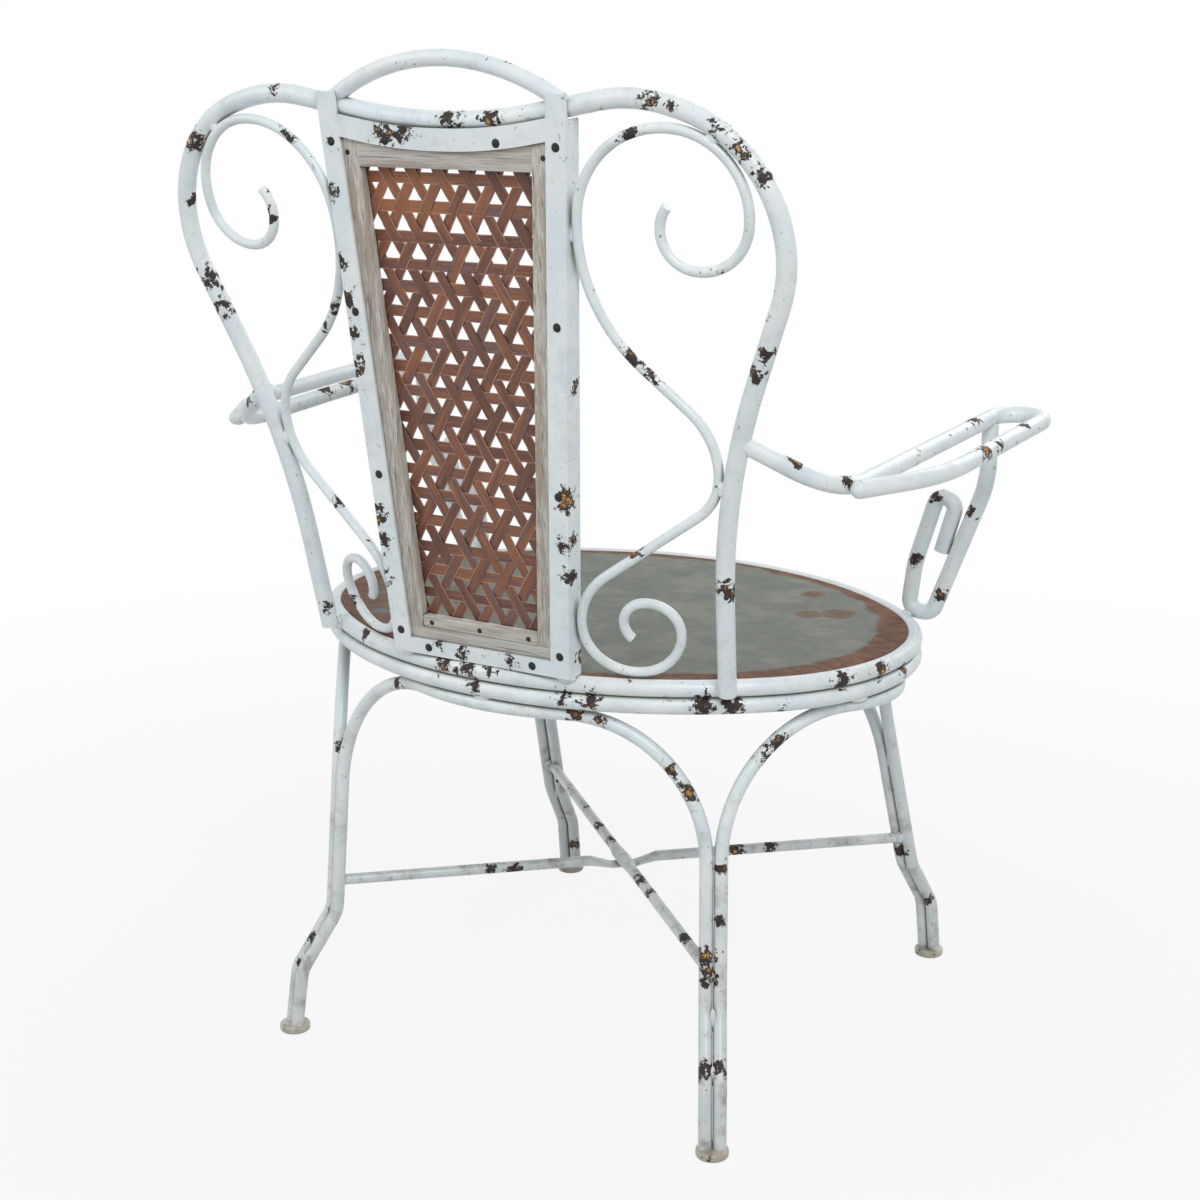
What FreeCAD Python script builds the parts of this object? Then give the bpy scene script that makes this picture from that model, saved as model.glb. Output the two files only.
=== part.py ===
"""Garden armchair bent and welded from round steel rod, with a sheet seat and a cane back panel.

Millimetres, +Z up. The chair faces -Y, its back is at +Y and the floor is Z = 0.
The origin lies on the floor below the middle of the seat.
"""
import FreeCAD
import Part

import math
import os
import re

import Sketcher
from FreeCAD import Placement, Rotation, Vector

doc = FreeCAD.newDocument("garden_armchair")

# Driving sizes: name, millimetres or degrees, what it measures
SIZES = [
    ("seat_height", 424.8, "floor to the middle of the upper seat ring"),
    ("ring_half_width", 310, "middle of the chair to the ring's rod at the side"),
    ("ring_half_depth", 236, "middle of the seat to the ring's rod at the back"),
    ("ring_end_radius", 187, "bend of the ring's two side ends"),
    ("ring_rod", 16, "rod of both seat rings"),
    ("hoop_rod", 17, "rod of the back hoop"),
    ("crest_rod", 14.5, "rod of the crest arch"),
    ("leg_rod", 13, "rod of the four leg arches"),
    ("arm_rod", 16, "rod of the arm loops"),
    ("support_rod", 16, "rod of the arm supports"),
    ("scroll_rod", 9, "rod of the back scrolls"),
    ("brace_rod", 11, "rod of the crossed leg braces"),
    ("rod_gap", 0.3, "space left between round rods that touch"),
    ("seat_sheet", 1.5, "thickness of the seat panel"),
    ("seat_drop", 1.2, "seat panel's top below the ring's top"),
    ("seat_edge_round", 0.6, "rounding of the seat panel's top edge"),
    ("hoop_lean", 10.75, "degrees that the hoop leans back"),
    ("hoop_foot_half", 226, "middle of the chair to the hoop's foot"),
    ("hoop_foot_rise", 7, "hoop's foot above the joint of the two rings"),
    ("hoop_waist_half", 239, "hoop's waist corner from the middle"),
    ("hoop_waist_rise", 205, "hoop's waist corner above the rings"),
    ("hoop_waist_bend", 650, "bend at the hoop's waist"),
    ("hoop_side_half", 323, "hoop's side corner from the middle"),
    ("hoop_side_rise", 410, "hoop's side corner above the rings"),
    ("hoop_side_bend", 118, "bend at the hoop's side"),
    ("hoop_shoulder_half", 290, "hoop's shoulder corner from the middle"),
    ("hoop_shoulder_rise", 513, "hoop's shoulder corner above the rings"),
    ("hoop_shoulder_bend", 117, "bend at the hoop's shoulder"),
    ("hoop_top_half", 187, "hoop's top corner from the middle"),
    ("hoop_top_rise", 541, "hoop's top corner above the rings"),
    ("hoop_top_bend", 147, "bend at the hoop's top"),
    ("dip_half", 50, "corner of the hoop's dip from the middle"),
    ("dip_rise", 516, "bottom of the hoop's dip above the rings"),
    ("dip_bend", 490, "bend in the hoop's dip"),
    ("crest_sag", 34.6, "top of the crest arch above its two ends"),
    ("crest_half", 118, "end of the crest arch from the middle"),
    ("crest_seat", 6, "end of the crest arch above the middle of the hoop's rod"),
    ("post_half_low", 96.5, "outside of a panel post from the middle, at the rings"),
    ("post_half_high", 130, "outside of a panel post from the middle, at its top"),
    ("post_top_rise", 533, "top of the panel posts above the rings"),
    ("post_lip_high", 512, "upper end of a post's side leg above the rings"),
    ("angle_width", 20, "width of both legs of the posts' angle iron"),
    ("angle_wall", 3, "wall of the angle iron and of the two plates"),
    ("top_plate_width", 19, "height of the curved top plate"),
    ("top_plate_drop", 6, "top plate's edge below the middle of the hoop's dip"),
    ("top_screw_lift", 8, "top plate's screws above its lower edge"),
    ("bottom_plate_width", 15, "height of the bottom plate"),
    ("bottom_plate_lift", 0.5, "bottom plate above the upper ring"),
    ("wood_thickness", 9, "thickness of the panel's wooden frame"),
    ("stile_width", 32, "width of the wooden stiles"),
    ("wood_clearance", 0.5, "space between the wood and the angle iron"),
    ("wood_margin", 6, "wood beyond the middle of the plates' screws"),
    ("stile_horn", 7.4, "stiles above the wooden top rail"),
    ("top_rail_height", 29.6, "height of the wooden top rail"),
    ("bottom_rail_height", 11.3, "height of the wooden bottom rail"),
    ("bottom_strip_height", 25, "height of the strip under the stiles and the bottom rail"),
    ("cane_sheet", 2, "thickness of the cane panel"),
    ("cane_lap", 9, "cane beyond the edge of its opening"),
    ("cane_pitch", 24.1, "from one row of crossings to the next"),
    ("cane_step", 28.5, "from one crossing to the next in its row"),
    ("cane_top_drop", 7.8, "top row of crossings below the top of the opening"),
    ("cane_shift", 10, "crossings aside of the middle at the bottom of the opening"),
    ("cane_drift", 7, "crossings further aside at the top of the opening"),
    ("cane_sag", 1.8, "level strips below the crossings of the slanted ones"),
    ("cane_width", 9.8, "width of a strip of cane"),
    ("screw_head", 8, "head diameter of the panel screws"),
    ("screw_head_height", 1.8, "head height of the panel screws"),
    ("screw_shank", 3.6, "shank diameter of the panel screws"),
    ("screw_cover", 1.2, "wood left beyond the tip of a screw"),
    ("screw_clearance", 0.2, "space around the screw shanks"),
    ("post_screw_dip", 5.5, "lowest post screw below the top of the wooden strip"),
    ("post_screw_drop", 15.5, "highest post screw below the top of the stiles"),
    ("plate_screw_half", 58, "plate screws from the middle"),
    ("nail_head", 5, "head diameter of the frame nails"),
    ("nail_head_height", 1, "head height of the frame nails"),
    ("nail_inset", 4.3, "upper nails from the inner edge of a post"),
    ("nail_top_drop", 25, "upper nails below the top of the stiles"),
    ("nail_low_half", 54, "lower nails from the middle"),
    ("nail_low_drop", 6, "lower nails below the cane opening"),
    ("leg_corner_half", 211.5, "top corner of a leg pair from the middle"),
    ("rear_corner_back", 174.7, "top corner of the rear legs behind the middle"),
    ("front_corner_back", 150.1, "top corner of the front legs before the middle"),
    ("leg_bend", 134, "bend from a leg into its arch"),
    ("arch_run", 10, "straight rod between a leg's bend and its arch's"),
    ("rear_splay_x", 35.5, "rear foot outwards of the leg's top"),
    ("rear_splay_y", 61.8, "rear foot backwards of the leg's top"),
    ("front_splay_x", 26.2, "front foot outwards of the leg's top"),
    ("front_splay_y", 129.7, "front foot forwards of the leg's top"),
    ("knee_high", 124, "upper knee corner above the floor"),
    ("knee_low", 66.5, "lower knee corner above the floor"),
    ("knee_high_reach", 49.8, "upper knee corner inwards of the foot"),
    ("knee_low_reach", 9.6, "lower knee corner inwards of the foot"),
    ("knee_bend", 34, "bend of both knee corners"),
    ("foot_diameter", 31, "diameter of the foot pads"),
    ("foot_height", 8, "height of the foot pads"),
    ("foot_round", 2.5, "rounding of the foot pads"),
    ("brace_height", 155, "middle of the upper brace above the floor"),
    ("brace_flat_width", 17, "width of the braces where they are beaten flat"),
    ("brace_flat", 5.5, "thickness of the braces where they are beaten flat"),
    ("brace_flat_length", 26, "length of the flat where the braces cross"),
    ("brace_taper", 22, "length over which a brace runs down to its flat"),
    ("brace_setback", 3, "end of a brace before the middle of its leg pair"),
    ("arm_joint_rise", 251, "arm rod's joint with the hoop above the rings"),
    ("arm_elbow_x", 333, "arm's elbow corner from the middle"),
    ("arm_elbow_y", 182, "arm's elbow corner behind the middle"),
    ("arm_elbow_rise", 202.35, "arm's elbow corner above the rings"),
    ("arm_elbow_bend", 74, "bend of the arm's elbow"),
    ("arm_inner_x", 339, "inner strand of the arm from the middle"),
    ("arm_spread", 50, "from the arm's inner strand to its outer strand"),
    ("arm_front_y", 163, "front of the arm loop before the middle"),
    ("arm_front_rise", 220.35, "front of the arm loop above the rings"),
    ("arm_front_bend", 26, "bends at the front of the arm loop"),
    ("arm_return_y", 95, "corner of the returning strand behind the middle"),
    ("arm_return_rise", 208.35, "corner of the returning strand above the rings"),
    ("arm_return_bend", 160, "bend of the returning strand"),
    ("arm_end_reach", 13, "end of the returning strand outwards of the inner strand"),
    ("arm_end_y", 170, "end of the returning strand behind the middle"),
    ("arm_end_rise", 204.35, "end of the returning strand above the rings"),
    ("support_y", 137, "arm support before the middle of the seat"),
    ("support_bow_rise", 161.35, "bow of the strand under the arm above the rings"),
    ("support_bow_bend", 120, "bend of the strand's bow"),
    ("support_foot_rise", 21.85, "foot of the support above the rings"),
    ("support_foot_reach", 9.7, "inner corner of the foot outwards of the ring"),
    ("support_foot_width", 26, "outer corner of the foot outwards of the inner corner"),
    ("support_foot_bend", 12, "bends of the foot"),
    ("support_waist_reach", 6, "waist of the curl outwards of the foot's inner corner"),
    ("support_waist_rise", 71.35, "waist of the curl above the rings"),
    ("support_waist_bend", 90, "bend at the curl's waist"),
    ("support_curl_reach", 27, "inner corner of the curl's top outwards of the foot's"),
    ("support_curl_width", 22, "width of the curl's top between its corners"),
    ("support_curl_rise", 140.35, "top of the curl above the rings"),
    ("support_curl_bend", 10.5, "bends at the top of the curl"),
    ("support_end_reach", 7, "end of the curl outwards of its top's inner corner"),
    ("support_end_rise", 86.35, "end of the curl above the rings"),
    ("knuckle_rise", 205, "scroll's knuckle on the hoop above the rings"),
    ("scroll_upper_tilt", 4.5, "degrees from the hoop's plane to the upper scroll's"),
    ("scroll_lower_tilt", 22.6, "degrees from the hoop's plane to the lower scroll's"),
    ("scroll_upper_turn", 47.5, "degrees that the scroll slopes inwards above the knuckle"),
    ("scroll_upper_bend", 69.5, "bend above the knuckle"),
    ("scroll_post_bend", 145, "bend towards the post, upper half"),
    ("scroll_flare", 10.5, "degrees that the upper scroll turns past upright on the post"),
    ("scroll_lower_turn", 58.6, "degrees that the scroll slopes inwards below the knuckle"),
    ("scroll_lower_bend", 46, "bend below the knuckle"),
    ("scroll_foot_bend", 60, "bend towards the post, lower half"),
    ("scroll_ring_gap", 1.5, "lower curl of the scroll above the upper ring"),
]

# Spirals of the scrolls: each bend as a share of the first one, and the degrees that it turns
UPPER_SPIRAL = [(1, 90), (0.79, 90), (0.535, 90), (0.372, 90), (0.36, 34)]
LOWER_SPIRAL = [(1, 90), (0.827, 90), (0.635, 90), (0.404, 90), (0.5, 40)]

sheet = doc.addObject("Spreadsheet::Sheet", "Sizes")
for row, (alias, number, meaning) in enumerate(SIZES, start=1):
    sheet.set("A%d" % row, meaning)
    sheet.set("B%d" % row, str(number))
    sheet.setAlias("B%d" % row, alias)
doc.recompute()

ALIAS = re.compile(r"\b(" + "|".join(alias for alias, _, _ in SIZES) + r")\b")
ROUND_OFF = 1e-6


def bound(expression):
    """The expression with each sheet name written as a path that other objects can use."""
    return ALIAS.sub(r"Sizes.\1", expression)


def size(expression):
    """Value of an expression on the sheet's names, as a plain number."""
    result = sheet.evalExpression(bound(expression))
    return float(getattr(result, "Value", result))


def pin(sketch, element, point, across, up):
    """Hold a point of a sketch at two expressions, measured from the sketch's origin."""
    for kind, axis, expression in (("DistanceX", -2, across), ("DistanceY", -1, up)):
        if abs(size(expression)) < ROUND_OFF:
            sketch.addConstraint(Sketcher.Constraint("PointOnObject", element, point, axis))
            continue
        rule = Sketcher.Constraint(kind, -1, 1, element, point, size(expression))
        sketch.setExpression("Constraints[%d]" % sketch.addConstraint(rule), bound(expression))


def add_sketch(body, name, role):
    """An empty sketch on one of the body's own origin planes."""
    sketch = body.newObject("Sketcher::SketchObject", name)
    plane = next(f for f in body.Origin.OriginFeatures if f.Role == role)
    sketch.AttachmentSupport = (plane, [""])
    sketch.MapMode = "FlatFace"
    return sketch


def bend_points(before, corner, after, bend):
    """Start, end and middle of the arc that rounds a corner."""
    back = (before - corner).normalize()
    onward = (after - corner).normalize()
    half_turn = (math.pi - back.getAngle(onward)) / 2
    reach = bend * math.tan(half_turn)
    inwards = (back + onward).normalize()
    centre = corner + inwards * (bend / math.cos(half_turn))
    return corner + back * reach, corner + onward * reach, centre


def draw_outline(sketch, corners, closed):
    """Straight runs joined by tangent arcs through corners (across, up, bend or None)."""
    count = len(corners)
    places = [Vector(size(across), size(up), 0) for across, up, _ in corners]
    starts = list(places)
    ends = list(places)
    centres = [None] * count
    for i, (_, _, bend) in enumerate(corners):
        if bend is None:
            continue
        around = places[i - 1], places[i], places[(i + 1) % count]
        starts[i], ends[i], centres[i] = bend_points(*around, size(bend))
    runs = []
    for i in range(count if closed else count - 1):
        line = Part.LineSegment(ends[i], starts[(i + 1) % count])
        runs.append(sketch.addGeometry(line, False))
    for i, (across, up, bend) in enumerate(corners):
        at_end = not closed and i in (0, count - 1)
        if at_end:
            pin(sketch, runs[0] if i == 0 else runs[-1], 1 if i == 0 else 2, across, up)
            continue
        incoming = runs[i - 1]
        outgoing = runs[i]
        if bend is None:
            sketch.addConstraint(Sketcher.Constraint("Coincident", incoming, 2, outgoing, 1))
            pin(sketch, outgoing, 1, across, up)
            continue
        from_angle = math.atan2(*reversed((starts[i] - centres[i])[:2]))
        to_angle = math.atan2(*reversed((ends[i] - centres[i])[:2]))
        cross = (places[i] - places[i - 1]).cross(places[(i + 1) % count] - places[i])
        circle = Part.Circle(centres[i], Vector(0, 0, 1), size(bend))
        left = cross.z > 0
        span = (from_angle, to_angle) if left else (to_angle, from_angle)
        arc = sketch.addGeometry(Part.ArcOfCircle(circle, *span), False)
        first, last = (1, 2) if left else (2, 1)
        sketch.addConstraint(Sketcher.Constraint("Tangent", incoming, 2, arc, first))
        sketch.addConstraint(Sketcher.Constraint("Tangent", arc, last, outgoing, 1))
        radius = sketch.addConstraint(Sketcher.Constraint("Radius", arc, size(bend)))
        sketch.setExpression("Constraints[%d]" % radius, bound(bend))
        corner = sketch.addGeometry(Part.Point(places[i]), True)
        pin(sketch, corner, 1, across, up)
        for run in (incoming, outgoing):
            sketch.addConstraint(Sketcher.Constraint("PointOnObject", corner, 1, run))
    return runs


def carry_circle(body, path, diameter):
    """Carry a circle along a sketched path, square to its first edge."""
    section = body.newObject("Sketcher::SketchObject", body.Label + "_section")
    section.AttachmentSupport = (path, ["Edge1"])
    section.MapMode = "NormalToEdge"
    section.MapPathParameter = 0
    circle = Part.Circle(Vector(0, 0, 0), Vector(0, 0, 1), size(diameter) / 2)
    section.addGeometry(circle, False)
    section.addConstraint(Sketcher.Constraint("Coincident", 0, 3, -1, 1))
    rule = section.addConstraint(Sketcher.Constraint("Diameter", 0, size(diameter)))
    section.setExpression("Constraints[%d]" % rule, bound(diameter))
    pipe = body.newObject("PartDesign::AdditivePipe", body.Label + "_pipe")
    pipe.Profile = (section, [""])
    pipe.Spine = (path, [])
    doc.recompute()


def rod_body(label, role, corners, diameter):
    """A bent round rod as a body: its path in one plane and a circle carried along it."""
    body = doc.addObject("PartDesign::Body", label)
    path = add_sketch(body, label + "_path", role)
    draw_outline(path, corners, closed=False)
    doc.recompute()
    carry_circle(body, path, diameter)
    return body


def rounded_path(places, bends):
    """Edges of a path in space: straight runs joined by tangent arcs at its inner corners."""
    edges = []
    here = places[0]
    for i, bend in enumerate(bends, start=1):
        start, end, centre = bend_points(places[i - 1], places[i], places[i + 1], bend)
        middle = centre + (places[i] - centre).normalize() * bend
        edges += [Part.LineSegment(here, start).toShape(), Part.Arc(start, middle, end).toShape()]
        here = end
    return edges + [Part.LineSegment(here, places[-1]).toShape()]


def turned_path(start, heading, normal, moves):
    """Edges of a flat path: a move is a straight length, or a bend and the degrees it turns."""
    edges = []
    here = start
    for move in moves:
        if isinstance(move, float):
            there = here + heading * move
            edges.append(Part.LineSegment(here, there).toShape())
            here = there
            continue
        bend, degrees = move
        centre = here + normal.cross(heading) * math.copysign(bend, degrees)
        middle = centre + Rotation(normal, degrees / 2).multVec(here - centre)
        turn = Rotation(normal, degrees)
        there = centre + turn.multVec(here - centre)
        edges.append(Part.Arc(here, middle, there).toShape())
        heading = turn.multVec(heading)
        here = there
    return edges


def rod_solid(edges, diameter):
    """A round rod along a path of edges."""
    path = Part.Wire(Part.__sortEdges__(edges))
    start = path.OrderedVertexes[0].Point
    first = path.OrderedEdges[0]
    heading = first.tangentAt(first.Curve.parameter(start))
    section = Part.Wire(Part.Circle(start, heading, diameter / 2).toShape())
    return path.makePipeShell([section], True, False)


def add_shape(label, shape):
    """A sub-part whose shape is worked out from the sheet's sizes."""
    part = doc.addObject("Part::Feature", label)
    part.Shape = shape
    part.Placement = Placement()
    return part


def add_pair(label, shape):
    """A sub-part on the chair's left and its twin on the right."""
    twin = shape.mirror(Vector(0, 0, 0), Vector(1, 0, 0))
    return add_shape(label + "_left", shape), add_shape(label + "_right", twin)


def other_side(corners):
    """The corners of an outline's mirror image, in reverse order."""
    return [("-(%s)" % across, up, bend) for across, up, bend in reversed(corners)]


def stand(body, back, rise, lean):
    """Stand a body's XZ plane behind the middle of the seat and lean it back."""
    angle = size(lean)
    body.Placement = Placement(Vector(0, size(back), size(rise)), Rotation(Vector(-1, 0, 0), angle))
    body.setExpression("Placement.Base.y", bound(back))
    body.setExpression("Placement.Base.z", bound(rise))
    body.setExpression("Placement.Rotation.Angle", bound(lean))


def board(label, corners, thickness, backwards):
    """A flat piece cut to an outline in its body's XZ plane, as a body."""
    body = doc.addObject("PartDesign::Body", label)
    outline = add_sketch(body, label + "_outline", "XZ_Plane")
    draw_outline(outline, corners, closed=True)
    pad = body.newObject("PartDesign::Pad", label + "_sheet")
    pad.Profile = outline
    pad.Length = size(thickness)
    pad.setExpression("Length", bound(thickness))
    pad.Reversed = backwards
    doc.recompute()
    return body


def bore(body, name, spots, diameter, depth, backwards):
    """Round holes in a body, from its XZ plane to a depth."""
    sketch = add_sketch(body, name + "_spots", "XZ_Plane")
    for across, up in spots:
        middle = Vector(size(across), size(up), 0)
        circle = sketch.addGeometry(Part.Circle(middle, Vector(0, 0, 1), size(diameter) / 2), False)
        pin(sketch, circle, 3, across, up)
        rule = sketch.addConstraint(Sketcher.Constraint("Diameter", circle, size(diameter)))
        sketch.setExpression("Constraints[%d]" % rule, bound(diameter))
    before = body.Shape.Volume
    pocket = body.newObject("PartDesign::Pocket", name)
    pocket.Profile = sketch
    pocket.Length = size(depth)
    pocket.setExpression("Length", bound(depth))
    pocket.Reversed = not backwards
    doc.recompute()
    cut = before - body.Shape.Volume
    expected = len(spots) * math.pi * (size(diameter) / 2) ** 2 * size(depth)
    if abs(cut - expected) > expected / 100:
        raise ValueError("%s cut %.1f instead of %.1f" % (name, cut, expected))


# Seat rings: two ovals of four arcs, one on top of the other

RING_STEP = "(ring_rod + rod_gap)"
RING_JOINT = "(seat_height - %s / 2)" % RING_STEP
RING_SIDE = (
    "(((ring_half_width - ring_end_radius)^2 / (ring_half_depth - ring_end_radius)"
    " + ring_half_depth + ring_end_radius) / 2)"
)


def ring_back(half, outwards):
    """How far back a line outside the ring lies at a distance from the middle."""
    radius = "(%s + %s)" % (RING_SIDE, outwards)
    return "(ring_half_depth - %s + sqrt(%s^2 - (%s)^2))" % (RING_SIDE, radius, half)


def draw_oval(sketch, inset):
    """Oval of four arcs, inside the line of the ring's rod."""
    end = size("ring_end_radius - %s" % inset)
    side = size("%s - %s" % (RING_SIDE, inset))
    across = size("ring_half_width - ring_end_radius")
    along = size("%s - ring_half_depth" % RING_SIDE)
    join = math.atan2(along, across)
    spans = [
        (Vector(across, 0, 0), end, -join, join),
        (Vector(0, -along, 0), side, join, math.pi - join),
        (Vector(-across, 0, 0), end, math.pi - join, math.pi + join),
        (Vector(0, along, 0), side, math.pi + join, 2 * math.pi - join),
    ]
    arcs = []
    for centre, radius, first, last in spans:
        circle = Part.Circle(centre, Vector(0, 0, 1), radius)
        arcs.append(sketch.addGeometry(Part.ArcOfCircle(circle, first, last), False))
    for i, arc in enumerate(arcs):
        sketch.addConstraint(Sketcher.Constraint("Tangent", arc, 2, arcs[(i + 1) % 4], 1))
    pin(sketch, arcs[0], 3, "ring_half_width - ring_end_radius", "0")
    pin(sketch, arcs[2], 3, "-(ring_half_width - ring_end_radius)", "0")
    for i, radius in enumerate(("ring_end_radius", RING_SIDE) * 2):
        expression = "%s - %s" % (radius, inset)
        rule = sketch.addConstraint(Sketcher.Constraint("Radius", arcs[i], size(expression)))
        sketch.setExpression("Constraints[%d]" % rule, bound(expression))


def add_ring(label, drop):
    """One of the two seat rings, a closed rod."""
    body = doc.addObject("PartDesign::Body", label)
    path = add_sketch(body, label + "_path", "XY_Plane")
    draw_oval(path, "0")
    doc.recompute()
    carry_circle(body, path, "ring_rod")
    height = "seat_height - %s" % drop
    body.Placement = Placement(Vector(0, 0, size(height)), Rotation())
    body.setExpression("Placement.Base.z", bound(height))
    return body


ring_upper = add_ring("seat_ring_upper", "0")
ring_lower = add_ring("seat_ring_lower", RING_STEP)

# Seat panel: an oval sheet let in between the upper ring's rods

SEAT_LIFT = "(ring_rod / 2 - seat_drop - seat_sheet)"
seat = doc.addObject("PartDesign::Body", "seat_panel")
seat_outline = add_sketch(seat, "seat_panel_outline", "XY_Plane")
draw_oval(seat_outline, "(sqrt((ring_rod / 2)^2 - %s^2) + rod_gap)" % SEAT_LIFT)
seat_pad = seat.newObject("PartDesign::Pad", "seat_panel_sheet")
seat_pad.Profile = seat_outline
seat_pad.Length = size("seat_sheet")
seat_pad.setExpression("Length", bound("seat_sheet"))
doc.recompute()
seat_rim = [
    "Edge%d" % i
    for i, edge in enumerate(seat_pad.Shape.Edges, start=1)
    if abs(edge.BoundBox.ZMin - size("seat_sheet")) < ROUND_OFF
]
seat_round = seat.newObject("PartDesign::Fillet", "seat_panel_round")
seat_round.Base = (seat_pad, seat_rim)
seat_round.Radius = size("seat_edge_round")
seat_round.setExpression("Radius", bound("seat_edge_round"))
seat.Placement = Placement(Vector(0, 0, size("seat_height + %s" % SEAT_LIFT)), Rotation())
seat.setExpression("Placement.Base.z", bound("seat_height + %s" % SEAT_LIFT))
doc.recompute()

# Back hoop: one bent rod whose feet lap the outside of the upper ring

HOOP_SEAT = "ring_rod / 2 + hoop_rod / 2 + rod_gap - hoop_foot_rise * tan(hoop_lean)"
HOOP_BACK = ring_back("hoop_foot_half", "(%s)" % HOOP_SEAT)
HOOP_RIGHT = [
    ("hoop_foot_half", "hoop_foot_rise", None),
    ("hoop_waist_half", "hoop_waist_rise", "hoop_waist_bend"),
    ("hoop_side_half", "hoop_side_rise", "hoop_side_bend"),
    ("hoop_shoulder_half", "hoop_shoulder_rise", "hoop_shoulder_bend"),
    ("hoop_top_half", "hoop_top_rise", "hoop_top_bend"),
    ("dip_half", "dip_rise", "dip_bend"),
]
hoop = rod_body("back_hoop", "XZ_Plane", HOOP_RIGHT + other_side(HOOP_RIGHT), "hoop_rod")
stand(hoop, HOOP_BACK, RING_JOINT, "hoop_lean")
doc.recompute()
hoop_line = doc.getObject("back_hoop_path").Shape.copy()


def hoop_spot(rise):
    """Point on the middle line of the hoop's left side, in the hoop's own plane."""
    level = Part.LineSegment(Vector(0, 0, rise), Vector(2 * size("hoop_side_half"), 0, rise))
    return hoop_line.distToShape(level.toShape())[1][0][0]


# Crest arch: springs from the straight slopes beside the hoop's dip

SLOPE = "((hoop_top_rise - dip_rise) / (hoop_top_half - dip_half))"
CREST_END = "(dip_rise + %s * (crest_half - dip_half) + crest_seat)" % SLOPE
crest_rod = doc.addObject("PartDesign::Body", "crest_arch_rod")
crest_path = add_sketch(crest_rod, "crest_arch_path", "XZ_Plane")
CREST_TOP = "(%s + crest_sag)" % CREST_END
crest_radius = size("(crest_half^2 + crest_sag^2) / (2 * crest_sag)")
crest_turn = math.asin(size("crest_half") / crest_radius)
crest_middle = Vector(0, size(CREST_TOP) - crest_radius, 0)
crest_circle = Part.Circle(crest_middle, Vector(0, 0, 1), crest_radius)
crest_arc = Part.ArcOfCircle(crest_circle, math.pi / 2 - crest_turn, math.pi / 2 + crest_turn)
crest_line = crest_path.addGeometry(crest_arc, False)
pin(crest_path, crest_line, 1, "crest_half", CREST_END)
pin(crest_path, crest_line, 2, "-crest_half", CREST_END)
crest_top = crest_path.addGeometry(Part.Point(Vector(0, size(CREST_TOP), 0)), True)
pin(crest_path, crest_top, 1, "0", CREST_TOP)
crest_path.addConstraint(Sketcher.Constraint("PointOnObject", crest_top, 1, crest_line))
doc.recompute()
carry_circle(crest_rod, crest_path, "crest_rod")
stand(crest_rod, HOOP_BACK, RING_JOINT, "hoop_lean")
crest = doc.addObject("Part::Cut", "crest_arch")
crest.Base = crest_rod
crest.Tool = hoop
doc.recompute()

# Back panel's plane: against the rings below and against the back of the hoop above

PANEL_BACK = "(%s + ring_rod / 2 + rod_gap - %s * tan(hoop_lean) / 4)" % (
    ring_back("(post_half_low - angle_width)", "0"),
    RING_STEP,
)
CROSSING = "(dip_rise + %s * (post_half_high - angle_width / 2 - dip_half))" % SLOPE
CROSSING_BACK = "(%s + %s * sin(hoop_lean) - %s)" % (HOOP_BACK, CROSSING, PANEL_BACK)
CROSSING_RISE = "(%s * cos(hoop_lean))" % CROSSING
PANEL_LEAN = "(atan(%s / %s) + asin((hoop_rod / 2 + rod_gap) / sqrt(%s^2 + %s^2)))" % (
    CROSSING_BACK,
    CROSSING_RISE,
    CROSSING_BACK,
    CROSSING_RISE,
)
UPRIGHT = "(cos(hoop_lean) / cos%s)" % PANEL_LEAN


def post_half(rise, inset):
    """Distance from the middle to a line beside the outer edge of a post."""
    spread = "(post_half_high - post_half_low) / post_top_rise"
    return "(post_half_low + %s * (%s) - (%s))" % (spread, rise, inset)


def between_posts(low, high, inset):
    """Corners of a strip from post to post, cut parallel to the posts."""
    right = [(post_half(low, inset), low, None), (post_half(high, inset), high, None)]
    return right + other_side(right)


def beside_post(low, high, outer, inner):
    """Corners of a strip that runs along a post."""
    outside = [(post_half(low, outer), low, None), (post_half(high, outer), high, None)]
    return outside + [(post_half(high, inner), high, None), (post_half(low, inner), low, None)]


def in_panel(body):
    """Stand a body in the back panel's plane."""
    stand(body, PANEL_BACK, RING_JOINT, PANEL_LEAN)
    doc.recompute()
    return body


# Screws of the panel: four in each post and two in each plate

PLATE_LOW = "(dip_rise * %s - top_plate_drop - top_plate_width)" % UPRIGHT
BOTTOM_LOW = "(%s / 2 + ring_rod / 2 + bottom_plate_lift)" % RING_STEP
TOP_SCREWS = "(%s + top_screw_lift)" % PLATE_LOW
BOTTOM_SCREWS = "(%s + bottom_plate_width / 2)" % BOTTOM_LOW
WOOD_TOP = "(%s + wood_margin)" % TOP_SCREWS
WOOD_LOW = "(%s - wood_margin)" % BOTTOM_SCREWS
STILE_TOP = "(%s + stile_horn)" % WOOD_TOP
OPENING_TOP = "(%s - top_rail_height)" % WOOD_TOP
STRIP_TOP = "(%s + bottom_strip_height)" % WOOD_LOW
OPENING_LOW = "(%s + bottom_rail_height)" % STRIP_TOP
LOW_SCREW = "(%s - post_screw_dip)" % STRIP_TOP
SCREW_PITCH = "((%s - post_screw_drop - %s) / 3)" % (STILE_TOP, LOW_SCREW)
post_rises = ["(%s + %d * %s)" % (LOW_SCREW, i, SCREW_PITCH) for i in range(4)]
post_spots = [(post_half(rise, "angle_width / 2"), rise) for rise in post_rises]
top_spots = [("plate_screw_half", TOP_SCREWS)]
bottom_spots = [("plate_screw_half", BOTTOM_SCREWS)]
HOLE = "screw_shank + 2 * screw_clearance"
PILOT = "(wood_thickness - screw_cover + screw_clearance)"


def mirrored(spots):
    """The spots' mirror image on the other side of the chair's middle."""
    return [("-(%s)" % across, up) for across, up in spots]


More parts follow.
